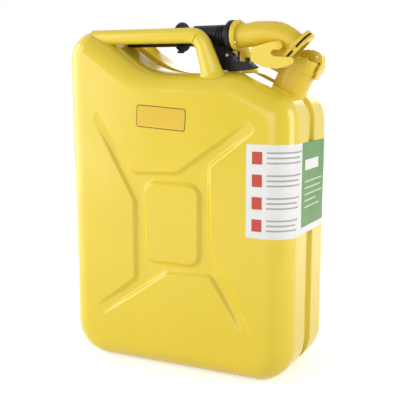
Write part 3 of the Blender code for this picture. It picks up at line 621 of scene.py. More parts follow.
    @classmethod
    def cut(cls, form: Mesh, *tools: Mesh) -> Mesh:
        """Return a mesh with others cut out of it in turn."""
        for tool in tools:
            form = cls.combine(form, tool, Combine.CUT)
        return form

    @classmethod
    def join(cls, form: Mesh, *tools: Mesh) -> Mesh:
        """Return a mesh with others joined to it in turn."""
        for tool in tools:
            form = cls.combine(form, tool, Combine.JOIN)
        return form

    @staticmethod
    def eased(form: Mesh, width: float, segments: int = 3, angle: float = 60.0) -> Mesh:
        """Round the sharp edges of a mesh.

        Args:
            form: The mesh, which is changed.
            width: Width of the rounding.
            segments: Faces across it.
            angle: Least angle in degrees between the faces of a sharp edge.

        Returns:
            The same mesh.
        """
        sharp = [
            edge for edge in form.edges
            if edge.is_manifold and edge.calc_face_angle(0.0) > math.radians(angle)
        ]
        bmesh.ops.bevel(
            form, geom=sharp, offset=width, offset_type="OFFSET", segments=segments, profile=0.5,
            affect="EDGES", clamp_overlap=True, material=-1,
        )
        return form


class Dresser:
    """Places finished meshes in the frame with their look, their body and the node that they stand for."""

    smooth_angle = math.radians(38)

    def __init__(self, frame: dict, shift: float) -> None:
        """Keep the loaded frame.

        Args:
            shift: Place of the can's own axes along the frame's X, in metres.
        """
        self.nodes = frame["nodes"]
        self.placing = Matrix.Translation((shift, 0.0, 0.0)) @ Matrix.Diagonal((MM, MM, MM, 1.0))
        self.body_of = {
            node: body for body, members in frame["record"]["behaviour"]["bodies"].items() for node in members
        }

    def add(self, form: Mesh, name: str, look: Look, node: str, replaced: bool = True,
            metric: bool = False) -> None:
        """Make one smooth-shaded piece of a mesh and dress it.

        Args:
            form: The mesh, in millimetres on the can's axes.
            name: The piece's name.
            look: Its material and slot.
            node: The node whose body it rides on.
            replaced: Whether it stands for that node.
            metric: Whether the mesh is already in metres in the frame.
        """
        if not metric:
            bmesh.ops.transform(form, matrix=self.placing, verts=form.verts)
        piece = Mill.to_object(form, name)
        piece.data.shade_smooth()
        piece.data.set_sharp_from_angle(angle=self.smooth_angle)
        piece.modifiers.new("even_shading", "WEIGHTED_NORMAL").keep_sharp = True
        piece.data.materials.clear()
        piece.data.materials.append(look.material)
        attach(piece, self.body_of[node])
        if replaced:
            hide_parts(node)
        LOG.info("%s: %d faces on %s", name, len(piece.data.polygons), self.body_of[node])


@dataclass
class PressedBody:
    """The two pressed halves of the can with their embossed cross."""

    width: float = 340.0
    depth: float = 163.5
    hump_height: float = 469.0
    top_height: float = 412.0
    sheet: float = 1.0
    face_radius: float = 32.0
    face_steps: int = 20
    base_radius: float = 50.0
    hump_radius: float = 40.0
    crest_radius: float = 10.0
    crest_length: float = 43.0
    scoop_angle: float = math.radians(33)
    scoop_radius: float = 110.0
    slope_start: float = 92.0
    slope_angle: float = math.radians(25)
    slope_radius: float = 30.0
    shoulder_radius: float = 40.0
    seam_half_width: float = 11.0
    seam_depth: float = 7.0
    seam_step: float = 3.0
    seam_gap: float = 0.15
    seam_fillet: float = 2.4
    fillet_steps: int = 5
    cross_height: float = 210.0
    cross_depth: float = 5.0
    # Half of the cross about its centre. The other half is the same after a half turn.
    cross_half: tuple = (
        (-58, 69, 10), (-114, 155, 5), (-122, 138, 5), (-59.5, 27.5, 12), (-59.5, -81.5, 12),
        (-123, -128, 5), (-114.5, -144.5, 5), (-9, -72, 10),
    )
    wall_outset: float = 1.5
    wall_inset: float = 6.5
    wall_steps: int = 8
    wall_spacing: float = 9.0
    wall_turn: float = 7.0
    skim: float = 0.03
    fade: float = 0.93
    fade_from: float = 125.0
    fade_to: float = 188.0
    pad_size: Corner = (40.0, 53.0, 14.0)
    pad_proud: float = 1.5
    neck_x: float = 138.0
    neck_radius: float = 23.8
    neck_reach: float = 30.0

    def corners(self) -> list[Corner]:
        """Return the can's side outline.

        Returns:
            Its corners, counter-clockwise.
        """
        half = self.width / 2
        crest = self.crest_length - half
        foot = crest + (self.hump_height - self.top_height) / math.tan(self.scoop_angle)
        shoulder = self.top_height - (half - self.slope_start) * math.tan(self.slope_angle)
        return [
            (-half, 0, self.base_radius),
            (half, 0, self.base_radius),
            (half, shoulder, self.shoulder_radius),
            (self.slope_start, self.top_height, self.slope_radius),
            (foot, self.top_height, self.scoop_radius),
            (crest, self.hump_height, self.crest_radius),
            (-half, self.hump_height, self.hump_radius),
        ]

    def cross_corners(self) -> list[Corner]:
        """Return the corners of the whole cross."""
        turned = tuple((-x, -z, radius) for x, z, radius in self.cross_half)
        return [(x, z + self.cross_height, radius) for x, z, radius in self.cross_half + turned]

    def round_fall(self, across: float) -> float:
        """Return how far the rounded rim lies below the can's outline at a distance through the can."""
        edge = max(abs(across) - (self.depth / 2 - self.face_radius), 0.0)
        return self.face_radius - math.sqrt(self.face_radius ** 2 - edge ** 2)

    def skin_rings(self) -> list[Ring]:
        """Return the front half's skin.

        Returns:
            Rings from the seam to the flat of the face.
        """
        bottom = Vector((self.seam_depth, self.seam_half_width - self.seam_step / 2))
        brow = Vector((0.0, self.seam_half_width + self.seam_step / 2))
        wall = (brow - bottom).normalized()
        lean = math.atan2(self.seam_step, self.seam_depth)
        reach = self.seam_fillet * math.tan(math.radians(45) - lean / 2)
        stations = [(self.seam_depth, self.seam_gap)]
        for corner, before, after in ((bottom, Vector((0.0, -1.0)), wall), (brow, -wall, Vector((0.0, 1.0)))):
            for number in range(self.fillet_steps + 1):
                share = number / self.fillet_steps
                first = corner + before * reach * (1 - share)
                second = corner + after * reach * share
                stations.append(tuple(first.lerp(second, share)))
        round_start = self.depth / 2 - self.face_radius
        for number in range(self.face_steps + 1):
            angle = math.pi / 2 * number / self.face_steps
            inset = self.face_radius * (1 - math.cos(angle))
            stations.append((inset, round_start + self.face_radius * math.sin(angle)))
        corners = self.corners()
        return [
            [Vector((point.x, -depth, point.y)) for point in Mill.outline(corners, inset)]
            for inset, depth in stations
        ]

    def pressed_block(self, corners: list[Corner], rising: bool) -> Mesh:
        """Return a block whose sides run in a smooth wave between the face and the cross's floor.

        Args:
            corners: The outline before the wall's insets.
            rising: Whether the block is the pad that stands in the cross, and not the cross itself.

        Returns:
            The block, which stands out past the face.
        """
        wave = []
        for number in range(self.wall_steps + 1):
            share = number / self.wall_steps
            inset = self.wall_inset * share - self.wall_outset * (1 - share)
            wave.append((inset, self.cross_depth * smooth(share)))
        if rising:
            wave = [(-inset, depth) for inset, depth in wave]
            wave[-1] = (wave[-1][0], self.cross_depth + self.skim)
            wave.append((wave[-1][0], 2 * self.cross_depth))
        wave[0] = (wave[0][0], -self.skim)
        wave.insert(0, (wave[0][0], -self.cross_depth * (self.pad_proud if rising else 1.0)))
        middle = Mill.outline(corners, 0.0, self.wall_turn)
        walls = [(after - here).length for here, after in zip(middle, middle[1:] + middle[:1])]
        counts = [max(1, round(wall / self.wall_spacing)) for wall in walls]
        middle = Mill.spaced(middle, counts)
        shares = [(1 + self.fading(point)) / 2 for point in middle]
        rings = []
        for inset, depth in wave:
            outline = Mill.spaced(Mill.outline(corners, inset, self.wall_turn), counts)
            places = [start.lerp(end, share) for start, end, share in zip(middle, outline, shares)]
            rings.append([Vector((place.x, depth - self.depth / 2, place.y)) for place in places])
        block = Mill.loft(rings)
        if not rising:
            self.shallow_tips(block)
        return block

    def shallow_tips(self, block: Mesh) -> None:
        """Divide the floor of the cross into a grid and raise it towards the tips of the arms.

        Args:
            block: The cross, which is changed.
        """
        face = self.depth / 2
        level = self.cross_depth - face
        lines = round(self.fade_to / self.wall_spacing)
        for across in (Vector((1, 0, 0)), Vector((0, 0, 1))):
            for number in range(-lines, lines + 1):
                place = Vector((0, 0, self.cross_height)) + across * number * self.wall_spacing
                floor = [
                    part for part in block.faces
                    if all(abs(corner.co.y - level) < self.skim / 2 for corner in part.verts)
                ]
                edges = dict.fromkeys(edge for part in floor for edge in part.edges)
                corners = dict.fromkeys(corner for part in floor for corner in part.verts)
                bmesh.ops.bisect_plane(
                    block, geom=[*floor, *edges, *corners], dist=self.skim, plane_co=place, plane_no=across
                )
        for corner in block.verts:
            depth = corner.co.y + face
            if depth > 0:
                corner.co.y = depth * self.fading(corner.co.xz) - face
        many = [part for part in block.faces if len(part.verts) > 3]
        bmesh.ops.triangulate(block, faces=many, quad_method="BEAUTY", ngon_method="BEAUTY")

    def fading(self, point: Vector) -> float:
        """Return how deep the cross is, which is less towards the tips of its arms.

        Args:
            point: A place on the face, as x and z.

        Returns:
            The share of the full depth there.
        """
        away = math.hypot(point.x, point.y - self.cross_height)
        share = (away - self.fade_from) / (self.fade_to - self.fade_from)
        return 1.0 - self.fade * smooth(min(max(share, 0.0), 1.0))

    def build(self, dresser: Dresser, look: Look) -> None:
        """Model both halves and dress them.

        Args:
            dresser: Places the pieces.
            look: Their enamel.
        """
        pad = self.pressed_block(Mill.rectangle(*self.pad_size, self.cross_height), True)
        recess = Mill.cut(self.pressed_block(self.cross_corners(), False), pad)
        skin = Mill.cut(Mill.loft(self.skin_rings()), recess)
        seam = [face for face in skin.faces if face.calc_center_median().y > -2 * self.seam_gap]
        bmesh.ops.delete(skin, geom=seam, context="FACES")
        bmesh.ops.recalc_face_normals(skin, faces=skin.faces)
        bmesh.ops.solidify(skin, geom=skin.faces, thickness=self.sheet)
        bmesh.ops.recalc_face_normals(skin, faces=skin.faces)
        reach = Vector((math.sin(self.slope_angle), 0.0, math.cos(self.slope_angle))) * self.neck_reach
        rise = self.top_height - (self.neck_x - self.slope_start) * math.tan(self.slope_angle)
        mouth = Vector((self.neck_x, 0.0, rise))
        skin = Mill.cut(skin, Mill.rod(self.neck_radius, mouth - reach, mouth + reach))
        rear = skin.copy()
        bmesh.ops.scale(rear, vec=(1, -1, 1), verts=rear.verts)
        bmesh.ops.reverse_faces(rear, faces=rear.faces)
        dresser.add(skin, "front_skin", look, "front_shell")
        dresser.add(rear, "rear_skin", look, "rear_shell")


@dataclass
class CarryingBars:
    """Three bent oval bars from the hump to the flat top."""

    spacing: float = 60.0
    height: float = 20.0
    width: float = 16.0
    top: float = 470.0
    bend_x: float = 20.0
    bend_radius: float = 22.0
    bend_steps: int = 18
    bend_swell: float = 0.35
    lean: float = math.radians(70)
    foot_x: float = 53.0
    foot_length: float = 31.0
    skirt: float = 3.0
    # Shares of the way down the foot with the share of the skirt's flare there.
    foot_stations: tuple = (
        (0.25, 0.0), (0.5, 0.0), (0.7, 0.0), (0.82, 0.1), (0.9, 0.3), (0.96, 0.65), (1.0, 1.0),
    )
    sides: int = 48
    clearance: float = 0.3
    fold_start: Pair = (26.0, 451.0)
    fold_end: Pair = (33.0, 460.5)
    fold_width: float = 0.9
    fold_ease: float = 0.25

    def rings(self, body: PressedBody, offset: float, drop: float) -> list[Ring]:
        """Return the rings of one bar.

        Args:
            body: The can that the bar stands on.
            offset: The bar's place through the can.
            drop: How far the seam lies below the can's outline there.

        Returns:
            Rings from the hump, round the bend, to the foot.
        """
        centre = self.top - self.height / 2
        half = self.width / 2
        crest = body.crest_length - body.width / 2
        first = Mill.tube_ring((0.0, centre, 0.0), (half, self.height / 2), self.sides, offset)
        for point in first:
            point.x = crest + (body.hump_height - point.z) / math.tan(body.scoop_angle)
            point.x += (self.clearance - drop - body.round_fall(point.y)) / math.sin(body.scoop_angle)
        rings = [first]
        for number in range(self.bend_steps + 1):
            share = number / self.bend_steps
            turn = self.lean * share
            x = self.bend_x + self.bend_radius * math.sin(turn)
            z = centre - self.bend_radius * (1 - math.cos(turn))
            across = self.height + (self.foot_length - self.height) * self.bend_swell * share
            rings.append(Mill.tube_ring((x, z, turn), (half, across / 2), self.sides, offset))
        last = rings[-1]
        for share, flare in self.foot_stations:
            spare = self.skirt * flare
            radii = (half + spare, self.foot_length / 2 + spare)
            ring = Mill.tube_ring((self.foot_x, 0.0, math.pi / 2), radii, self.sides, offset)
            for foot, above in zip(ring, last):
                foot.z = body.top_height - drop - body.round_fall(foot.y) + self.clearance
                straight = above.lerp(foot, share)
                foot.xz = straight.xz
                if not flare:
                    foot.y = straight.y
            rings.append(ring)
        return rings

    def fold(self, offset: float) -> Mesh:
        """Return the thin slab that opens the pressed fold on the inside of the bend.

        Args:
            offset: The bar's place through the can.

        Returns:
            The slab.
        """
        start = Vector(self.fold_start)
        heading = Vector(self.fold_end) - start
        tilt = Matrix.Rotation(-math.atan2(heading.y, heading.x), 4, "Y")
        reach = Vector((heading.length, self.width, self.fold_width / 2))
        return Mill.block(-reach, reach, Matrix.Translation((start.x, offset, start.y)) @ tilt)

    def build(self, dresser: Dresser, body: PressedBody, look: Look) -> None:
        """Model the bars and dress them.

        Args:
            dresser: Places the pieces.
            body: The can that they stand on.
            look: Their enamel.
        """
        for node, offset, drop in (
            ("handle_front", -self.spacing, 0.0), ("handle_centre", 0.0, body.seam_depth),
            ("handle_rear", self.spacing, 0.0),
        ):
            bar = Mill.cut(Mill.loft(self.rings(body, offset, drop)), self.fold(offset))
            dresser.add(Mill.eased(bar, self.fold_ease, 2), node + "_bar", look, node)


@dataclass
class Films:
    """Bare printed films: the small bordered plate on the face and the label round the corner."""

    film: float = 0.12
    print_lift: float = 0.06
    plate_middle: Pair = (-13.5, 353.0)
    plate_half: Pair = (37.5, 15.0)
    plate_tilt: float = math.radians(-3.9)
    plate_round: float = 4.5
    plate_border: float = 1.2
    label_start: float = 111.0
    label_fold: float = -36.0
    label_end: float = 56.0
    label_heights: Pair = (202.0, 323.0)
    corner_steps: int = 24
    block_count: int = 4
    block_drop: float = 9.0
    block_pitch: float = 29.0
    block_height: float = 16.0
    block_span: Pair = (8.0, 22.0)
    line_start: float = 28.0
    line_lengths: tuple = (62.0, 54.0, 58.0)
    line_shrink: float = 0.07
    line_pitch: float = 6.5
    line_height: float = 2.2
    head_length: float = 54.0
    head_heights: Pair = (286.0, 300.0)
    row_start: float = 12.0
    row_lengths: tuple = (70.0, 64.0, 70.0, 48.0, 60.0)
    row_top: float = 272.0
    row_pitch: float = 8.5
    row_height: float = 2.4
    foot_height: float = 9.0

    def path(self, body: PressedBody, lift: float) -> list[tuple[float, Vector]]:
        """Return points round the can's corner with their distance along it.

        Args:
            body: The can under the film.
            lift: Distance of the film above the can's skin.

        Returns:
            Pairs of running length and place, at one height.
        """
        reach = body.face_radius + lift
        x, y = body.width / 2 - body.face_radius, body.depth / 2 - body.face_radius
        places = [Vector((self.label_start, -body.depth / 2 - lift))]
        for side, first in ((-1, -math.pi / 2), (1, 0.0)):
            for number in range(self.corner_steps + 1):
                turn = first + math.pi / 2 * number / self.corner_steps
                places.append(Vector((x + reach * math.cos(turn), side * y + reach * math.sin(turn))))
        result = [(0.0, places[0])]
        for before, here in zip(places, places[1:]):
            result.append((result[-1][0] + (here - before).length, here))
        return result

    @staticmethod
    def along(track: list[tuple[float, Vector]], length: float) -> Vector:
        """Find a place on a track.

        Args:
            track: Pairs of running length and place.
            length: The running length to find.

        Returns:
            The place there, or the track's end.
        """
        for (first, here), (second, there) in zip(track, track[1:]):
            if length <= second:
                return here.lerp(there, (length - first) / (second - first))
        return track[-1][1]

    def wrapped(self, body: PressedBody, span: Pair, heights: Pair, lift: float) -> Mesh:
        """Return a film bent round the can's corner.

        Args:
            body: The can under the film.
            span: First and last running length along the corner.
            heights: Lower and upper edge.
            lift: Distance of its face above the can's skin.

        Returns:
            The film with its thickness.
        """
        track = self.path(body, lift)
        stops = [span[0]] + [length for length, _ in track if span[0] < length < span[1]] + [span[1]]
        form = bmesh.new()
        low = [form.verts.new((*self.along(track, stop), heights[0])) for stop in stops]
        edges = [form.edges.new(pair) for pair in zip(low, low[1:])]
        grown = bmesh.ops.extrude_edge_only(form, edges=edges)["geom"]
        high = [item for item in grown if isinstance(item, bmesh.types.BMVert)]
        bmesh.ops.translate(form, verts=high, vec=(0, 0, heights[1] - heights[0]))
        bmesh.ops.recalc_face_normals(form, faces=form.faces)
        if sum(face.normal.x for face in form.faces) < 0:
            bmesh.ops.reverse_faces(form, faces=form.faces)
        bmesh.ops.solidify(form, geom=form.faces, thickness=self.film / 2)
        bmesh.ops.recalc_face_normals(form, faces=form.faces)
        return form

    def layout(self, body: PressedBody, finishes: Finishes) -> list[tuple[str, Pair, Pair, Look]]:
        """Lay out the label's two sheets with plain bars and blocks for its print.

        Args:
            body: The can under the label.
            finishes: The finishes to choose from.

        Returns:
            Each film's name, span, heights and look, with the two sheets first.
        """
        low, high = self.label_heights
        flat = body.width / 2 - body.face_radius - self.label_start
        corner = flat + math.pi / 2 * (body.face_radius + self.film)
        fold = corner + self.label_fold + body.depth / 2 - body.face_radius
        end = fold + self.label_end - self.label_fold
        start = fold + self.row_start
        result = [
            ("label_white", (0.0, fold), self.label_heights, finishes.white),
            ("label_green", (fold, end), self.label_heights, finishes.green),
        ]
        for row in range(self.block_count):
            top = high - self.block_drop - self.block_pitch * row
            heights = (top - self.block_height, top)
            result.append((f"label_block_{row}", self.block_span, heights, finishes.red))
            for line, length in enumerate(self.line_lengths):
                edge = top - self.line_pitch * line
                span = (self.line_start, self.line_start + length * (1 - self.line_shrink * row))
                heights = (edge - self.line_height, edge)
                result.append((f"label_line_{row}_{line}", span, heights, finishes.grey))
        result.append(("label_head", (start, start + self.head_length), self.head_heights, finishes.white))
        for line, length in enumerate(self.row_lengths):
            edge = self.row_top - self.row_pitch * line
            heights = (edge - self.row_height, edge)
            result.append((f"label_row_{line}", (start, start + length), heights, finishes.pale))
        result.append(("label_foot", (fold, end), (low, low + self.foot_height), finishes.white))
        return result

    def build(self, dresser: Dresser, body: PressedBody, finishes: Finishes) -> None:
        """Make the bordered plate and the label.

        Args:
            dresser: Places the pieces.
            body: The can under the films.
            finishes: The finishes to choose from.
        """
        printed = self.film + self.print_lift
        x, z = self.plate_middle
        face = Matrix.Translation((x, -body.depth / 2, z)) @ UPRIGHT
        face = face @ Matrix.Rotation(self.plate_tilt, 4, "Z")
        for name, inset, lift, look in (
            ("plate_border", 0.0, self.film, finishes.line),
            ("plate_face", self.plate_border, printed, finishes.amber),
        ):
            sizes = [size - inset for size in (*self.plate_half, self.plate_round)]
            slab = Mill.slab(Mill.rectangle(*sizes), lift, face @ Matrix.Translation((0, 0, lift / 2)))
            dresser.add(slab, name, look, "front_shell", False)
        for number, (name, span, heights, look) in enumerate(self.layout(body, finishes)):
            lift = printed if number > 1 else self.film
            dresser.add(self.wrapped(body, span, heights, lift), name, look, "front_shell", False)


@dataclass
class Spout:
    """The stowed pouring spout: black nozzle and barrel, cast elbow and its clamping coupling.

    It is modelled along its own X axis, with Z up, and placed on the can at the end.
    """

    place: Corner = (0.0, -32.3, 459.5)
    yaw: float = math.radians(-6.5)
    clearance: float = 0.3
    nozzle_tip: float = -97.0
    nozzle_radius: float = 12.5
    nozzle_bore: float = 10.5
    guard_start: float = -8.5
    guard_length: float = 5.0
    guard_radius: float = 19.7
    barrel_start: float = 15.0
    barrel_length: float = 62.0
    barrel_radius: float = 14.3
    barrel_socket: float = 24.0
    barrel_flange: float = 8.0
    groove_count: int = 3
    groove_start: float = 14.0
    groove_pitch: float = 4.0
    groove_depth: float = 1.2
    groove_slope: float = 0.6
    groove_width: float = 2.4
    # Half length and half width of the trigger's strut, and its reach below the trigger's pin.
    strut: Corner = (4.5, 2.5, 4.0)
    web_start: float = 40.0
    web_toe: float = 57.0
    web_gap: float = 5.6
    web_low: float = -44.0
    web_thickness: float = 10.0
    flange_radius: float = 20.0
    seal: float = 1.2
    elbow_flange: float = 7.0
    elbow_radius: float = 15.4
    elbow_end_radius: float = 14.0
    elbow_bore: float = 10.5
    elbow_pull: float = 0.8
    elbow_steps: int = 22
    # First and last of the stations with the rib on the elbow's back, and the number of the elbow's last one.
    rib_stations: tuple = (3, 17, 20)
    rib_height: float = 1.5
    rib_root: float = 5.0
    rib_width: float = 3.0
    coupling_x: float = 160.0
    coupling_drop: float = 9.0
    coupling_turn: float = math.radians(-12)
    bend: float = math.radians(46)
    # Half length, half width and corner radius of the coupling's plates.
    plate: Corner = (24.2, 17.2, 15.0)
    plate_thickness: float = 4.0
    collar_length: float = 9.0
    ring_seal: float = 2.2
    ring_inset: float = 1.2
    ring_spare: float = 1.0
    clamp_thickness: float = 3.4
    mouth_spare: float = 3.5
    post: Pair = (3.0, 1.0)
    post_inset: float = 1.6
    pivot: Pair = (151.0, -14.0)
    boss_radius: float = 4.8
    cheek_offset: float = 20.1
    cheek: float = 2.0
    lever_left: float = 113.0
    # The lever's cheek after its left end: thumb edge, lower prong, notch, upper prong.
    cheek_corners: tuple = (
        (128.0, -40.0, 24.0), (150.0, -43.0, 30.0), (172.0, -37.0, 3.8), (172.0, -29.0, 3.8),
        (146.0, -27.5, 2.0), (139.0, -24.0, 3.0), (144.0, -19.5, 2.0), (156.0, -19.5, 4.4),
        (156.0, -9.5, 4.4), (144.0, -9.5, 6.0),
    )
    rivet_radius: float = 2.26
    rivet_reach: float = 30.0
    rivet_depth: float = 5.0
    trigger_pivot: Pair = (68.0, -25.0)
    pin_radius: float = 2.06
    pin_reach: float = 12.0
    screw_circle: float = 17.6
    screw_hole: float = 1.25
    screw_span: Pair = (-9.0, 11.0)
    rod_x: float = 82.4
    rod_hole: float = 1.8
    rod_depth: float = 6.0
    small_sides: int = 24

    def lathe(self, profile: list[Pair]) -> Mesh:
        """Spin a profile of (radius, distance) points about the spout's own axis."""
        return Mill.turned(profile, Matrix.Rotation(math.radians(90), 4, "Y"))

    def barrel_end(self) -> float:
        """Return where the barrel's flange ends on the spout axis."""
        return self.barrel_start + self.barrel_length

    def elbow_start(self) -> float:
        """Return where the elbow's flange begins on the spout axis."""
        return self.barrel_end() + self.seal + 2 * self.clearance

    def coupling(self) -> Matrix:
        """Return the coupling's place on the spout.

        Returns:
            The frame at the end of the elbow, with Z along the coupling's axis.
        """
        place = Matrix.Translation((self.coupling_x, 0.0, -self.coupling_drop))
        turn = Matrix.Rotation(self.coupling_turn, 4, "X")
        return place @ Matrix.Rotation(math.radians(90) + self.bend, 4, "Y") @ turn

    def coupling_bore(self, radius: float, start: float, end: float) -> Mesh:
        """Return a bar on the coupling's axis between two distances."""
        place = self.coupling()
        return Mill.rod(radius, place @ Vector((0, 0, start)), place @ Vector((0, 0, end)))

    def elbow_axis(self, share: float) -> Corner:
        """Return a point on the swan-necked axis.

        Args:
            share: Distance from the flange to the coupling, 0 to 1.

        Returns:
            Its x, its z and its downward heading.
        """
        start = Vector((self.elbow_start() + self.elbow_flange, 0.0))
        end = Vector((self.coupling_x, -self.coupling_drop))
        first = Vector((end.x - start.x, 0.0))
        last = Vector((math.cos(self.bend), -math.sin(self.bend))) * first.x * self.elbow_pull
        place = start.lerp(end, smooth(share)) + first * share * (1 - share) ** 2
        place += last * share * share * (share - 1)
        slope = (end - start) * 6 * share * (1 - share) + first * (1 - 4 * share + 3 * share * share)
        slope += last * (3 * share * share - 2 * share)
        return place.x, place.y, math.atan2(-slope.y, slope.x)

    def elbow_tube(self, radii: Pair, start: float, past: float, sides: int) -> Mesh:
        """Return a round tube along the elbow's axis.

        Args:
            radii: Radius at the flange and at the coupling.
            start: Where it begins on the spout axis.
            past: How far it runs on past the coupling's frame.
            sides: Points on each ring.

        Returns:
            The closed tube.
        """
        stations = [(start, 0.0, 0.0, radii[0])]
        for number in range(self.elbow_steps + 1):
            share = number / self.elbow_steps
            stations.append((*self.elbow_axis(share), radii[0] + (radii[1] - radii[0]) * share))
        x, z, turn, radius = stations[-1]
        stations.append((x + past * math.cos(turn), z - past * math.sin(turn), turn, radius))
        return Mill.loft([Mill.tube_ring(station[:3], (station[3],) * 2, sides) for station in stations])

    def coupling_plate(self, low: float, high: float, inset: float = 0.0) -> Mesh:
        """Return one long round plate of the coupling.

        Args:
            low: Where it begins on the coupling's axis.
            high: Where it ends.
            inset: How far its edge lies inside the other plates'.

        Returns:
            The plate with eased edges.
        """
        corners = Mill.rectangle(*(size - inset for size in self.plate))
        place = self.coupling() @ Matrix.Translation((0, 0, (low + high) / 2))
        return Mill.eased(Mill.slab(corners, high - low, place), 0.5)

    def on_pivot(self, radius: float, start: float, end: float) -> Mesh:
        """Return a bar on the clamping lever's axis between two distances."""
        x, z = self.pivot
        return Mill.rod(radius, Vector((x, start, z)), Vector((x, end, z)))

    def screw_holes(self) -> list[Mesh]:
        """Return the bars that cut the three screws' holes through both flanges.

        Returns:
            The bars.
        """
        result = []
        for number in range(3):
            angle = math.radians(90 + 120 * number)
            y, z = self.screw_circle * math.cos(angle), self.screw_circle * math.sin(angle)
            ends = [Vector((self.barrel_end() + past, y, z)) for past in self.screw_span]
            result.append(Mill.rod(self.screw_hole, *ends, self.small_sides))
        return result

    def nozzle(self) -> Mesh:
        """Return the plain nozzle tube with a chamfered tip.

        Returns:
            The tube, as far as the barrel's socket.
        """
        tail = self.barrel_start + self.barrel_socket
        tip, bore, radius = self.nozzle_tip, self.nozzle_bore, self.nozzle_radius
        return self.lathe([
            (bore, tip), (bore + 0.4, tip), (radius - 0.3, tip + 6.2), (radius, tip + 7.2), (radius, tail),
            (bore, tail),
        ])

    def guard(self) -> Mesh:
        """Return the round guard that sits between two bars.

        Returns:
            The guard with its small toe.
        """
        seat = self.nozzle_radius + self.clearance
        start, end = self.guard_start, self.guard_start + self.guard_length
        outer = self.guard_radius
        disc = self.lathe([
            (seat, start), (outer - 1.5, start), (outer - 0.45, start + 0.45), (outer, start + 1.5),
            (outer, end - 1.5), (outer - 0.45, end - 0.45), (outer - 1.5, end), (seat, end),
        ])
        toe = Mill.block((start - 4.0, -4.0, -outer - 1.6), (start + 2.5, 4.0, -outer + 1.5))
        return Mill.join(disc, Mill.eased(toe, 0.7))

    def barrel(self) -> Mesh:
        """Return the grooved barrel with its flange, web and trigger strut.

        Returns:
            The barrel with its holes cut.
        """
        start, end = self.barrel_start, self.barrel_end()
        flange = end - self.barrel_flange
        tail = start + self.barrel_socket + self.clearance
        socket = self.nozzle_radius + self.clearance
        radius, rim, bore = self.barrel_radius, self.flange_radius, self.nozzle_bore
        profile = [(socket, start), (radius - 0.8, start), (radius, start + 1.0)]
        for number in range(self.groove_count):
            first = flange - self.groove_start + self.groove_pitch * number
            last = first + self.groove_width
            floor = radius - self.groove_depth
            slope = self.groove_slope
            profile += [(radius, first), (floor, first + slope), (floor, last - slope), (radius, last)]
        profile += [
            (radius, flange - 2.2), (radius + 0.6, flange - 0.8), (radius + 2.4, flange + 0.4),
            (rim - 0.8, flange + 1.6), (rim, flange + 2.4), (rim, end - 0.5), (rim - 0.5, end), (bore, end),
            (bore, tail), (socket, tail),
        ]
        x, z = self.trigger_pivot
        length, width, below = self.strut
        strut = Mill.block((x - length, -width, z - below), (x + length, width, -socket))
        right = x - self.web_gap
        web = Mill.slab([
            (self.web_toe, self.web_low, 2.0), (right, self.web_low, 2.0), (right, -socket, 0.5),
            (self.web_start, -socket, 0.5),
        ], self.web_thickness, UPRIGHT)
        result = Mill.join(self.lathe(profile), strut, Mill.eased(web, 0.6, 2))
        axle = Mill.rod(self.pin_radius, Vector((x, -self.pin_reach, z)), Vector((x, self.pin_reach, z)))
        return Mill.cut(result, axle, *self.screw_holes())

    def elbow_rib(self) -> Mesh:
        """Return the low rib on the elbow's back.

        Returns:
            The rib, sunk into the tube.
        """
        first, last, count = self.rib_stations
        low, high = [], []
        for number in range(first, last + 1):
            x, z, turn = self.elbow_axis(number / count)
            skin = self.elbow_radius + (self.elbow_end_radius - self.elbow_radius) * number / count
            lift = self.rib_height * min(1.0, (number - first) / 3, (last - number) / 3)
            for row, up in ((low, skin - self.rib_root), (high, skin + lift)):
                row.append((x + up * math.sin(turn), z + up * math.cos(turn), 0.2))
        return Mill.eased(Mill.slab(low + high[::-1], self.rib_width, UPRIGHT), 0.7)

    def elbow(self) -> Mesh:
        """Return the cast elbow with its flange, rib, boss and coupling plate.

        Returns:
            The elbow with its holes cut.
        """
        start = self.elbow_start()
        face = start + self.elbow_flange
        rim, end, length = self.flange_radius, self.elbow_end_radius, self.collar_length
        waist = self.plate[1] - 2.6
        edge = self.cheek_offset - self.clearance
        disc = self.lathe([
            (0.0, start), (rim - 0.6, start), (rim, start + 0.6), (rim, face - 1.4), (rim - 0.4, face - 0.4),
            (rim - 1.4, face), (0.0, face),
        ])
        collar = Mill.turned([
            (0.0, -5.0), (end - 0.6, -5.0), (end + 0.4, -2.6), (waist - 0.6, 0.4), (waist, 2.0),
            (waist, length - 1.0), (0.0, length - 1.0),
        ], self.coupling())
        body = Mill.join(
            self.elbow_tube((self.elbow_radius, end), start + 2.0, 3.0, 64), disc, collar,
            self.coupling_plate(length - self.plate_thickness, length), self.elbow_rib(),
            self.on_pivot(self.boss_radius, -edge, edge),
        )
        well = [Vector((self.rod_x, 0, height - rim)) for height in (-1.0, self.rod_depth)]
        return Mill.cut(
            body, self.elbow_tube((self.elbow_bore,) * 2, start - 5.0, length + 6.0, 48),
            self.on_pivot(self.rivet_radius, -self.rivet_reach, -edge + self.rivet_depth),
            self.on_pivot(self.rivet_radius, edge - self.rivet_depth, self.rivet_reach),
            Mill.rod(self.rod_hole, *well, self.small_sides), *self.screw_holes(),
        )

    def clamp(self) -> Mesh:
        """Return the open lower plate of the coupling.

        Returns:
            The plate with its two posts.
        """
        foot = self.collar_length + self.clearance
        near = foot + self.ring_seal + self.clearance
        far = near + self.clamp_thickness
        place = self.coupling()
        mouth = self.elbow_bore + self.mouth_spare
        long, wide = self.post
        posts = []
        for side in (-1, 1):
            row = side * (self.plate[1] - self.post_inset)
            posts.append(Mill.block((-long, row - wide, foot), (long, row + wide, near + 1), place))
        slot = Mill.block((0.0, -mouth, near - 1), (2 * self.plate[0], mouth, far + 1), place)
        opening = self.coupling_bore(mouth, near / 2, far * 2)
        return Mill.join(Mill.cut(self.coupling_plate(near, far), opening, slot), *posts)

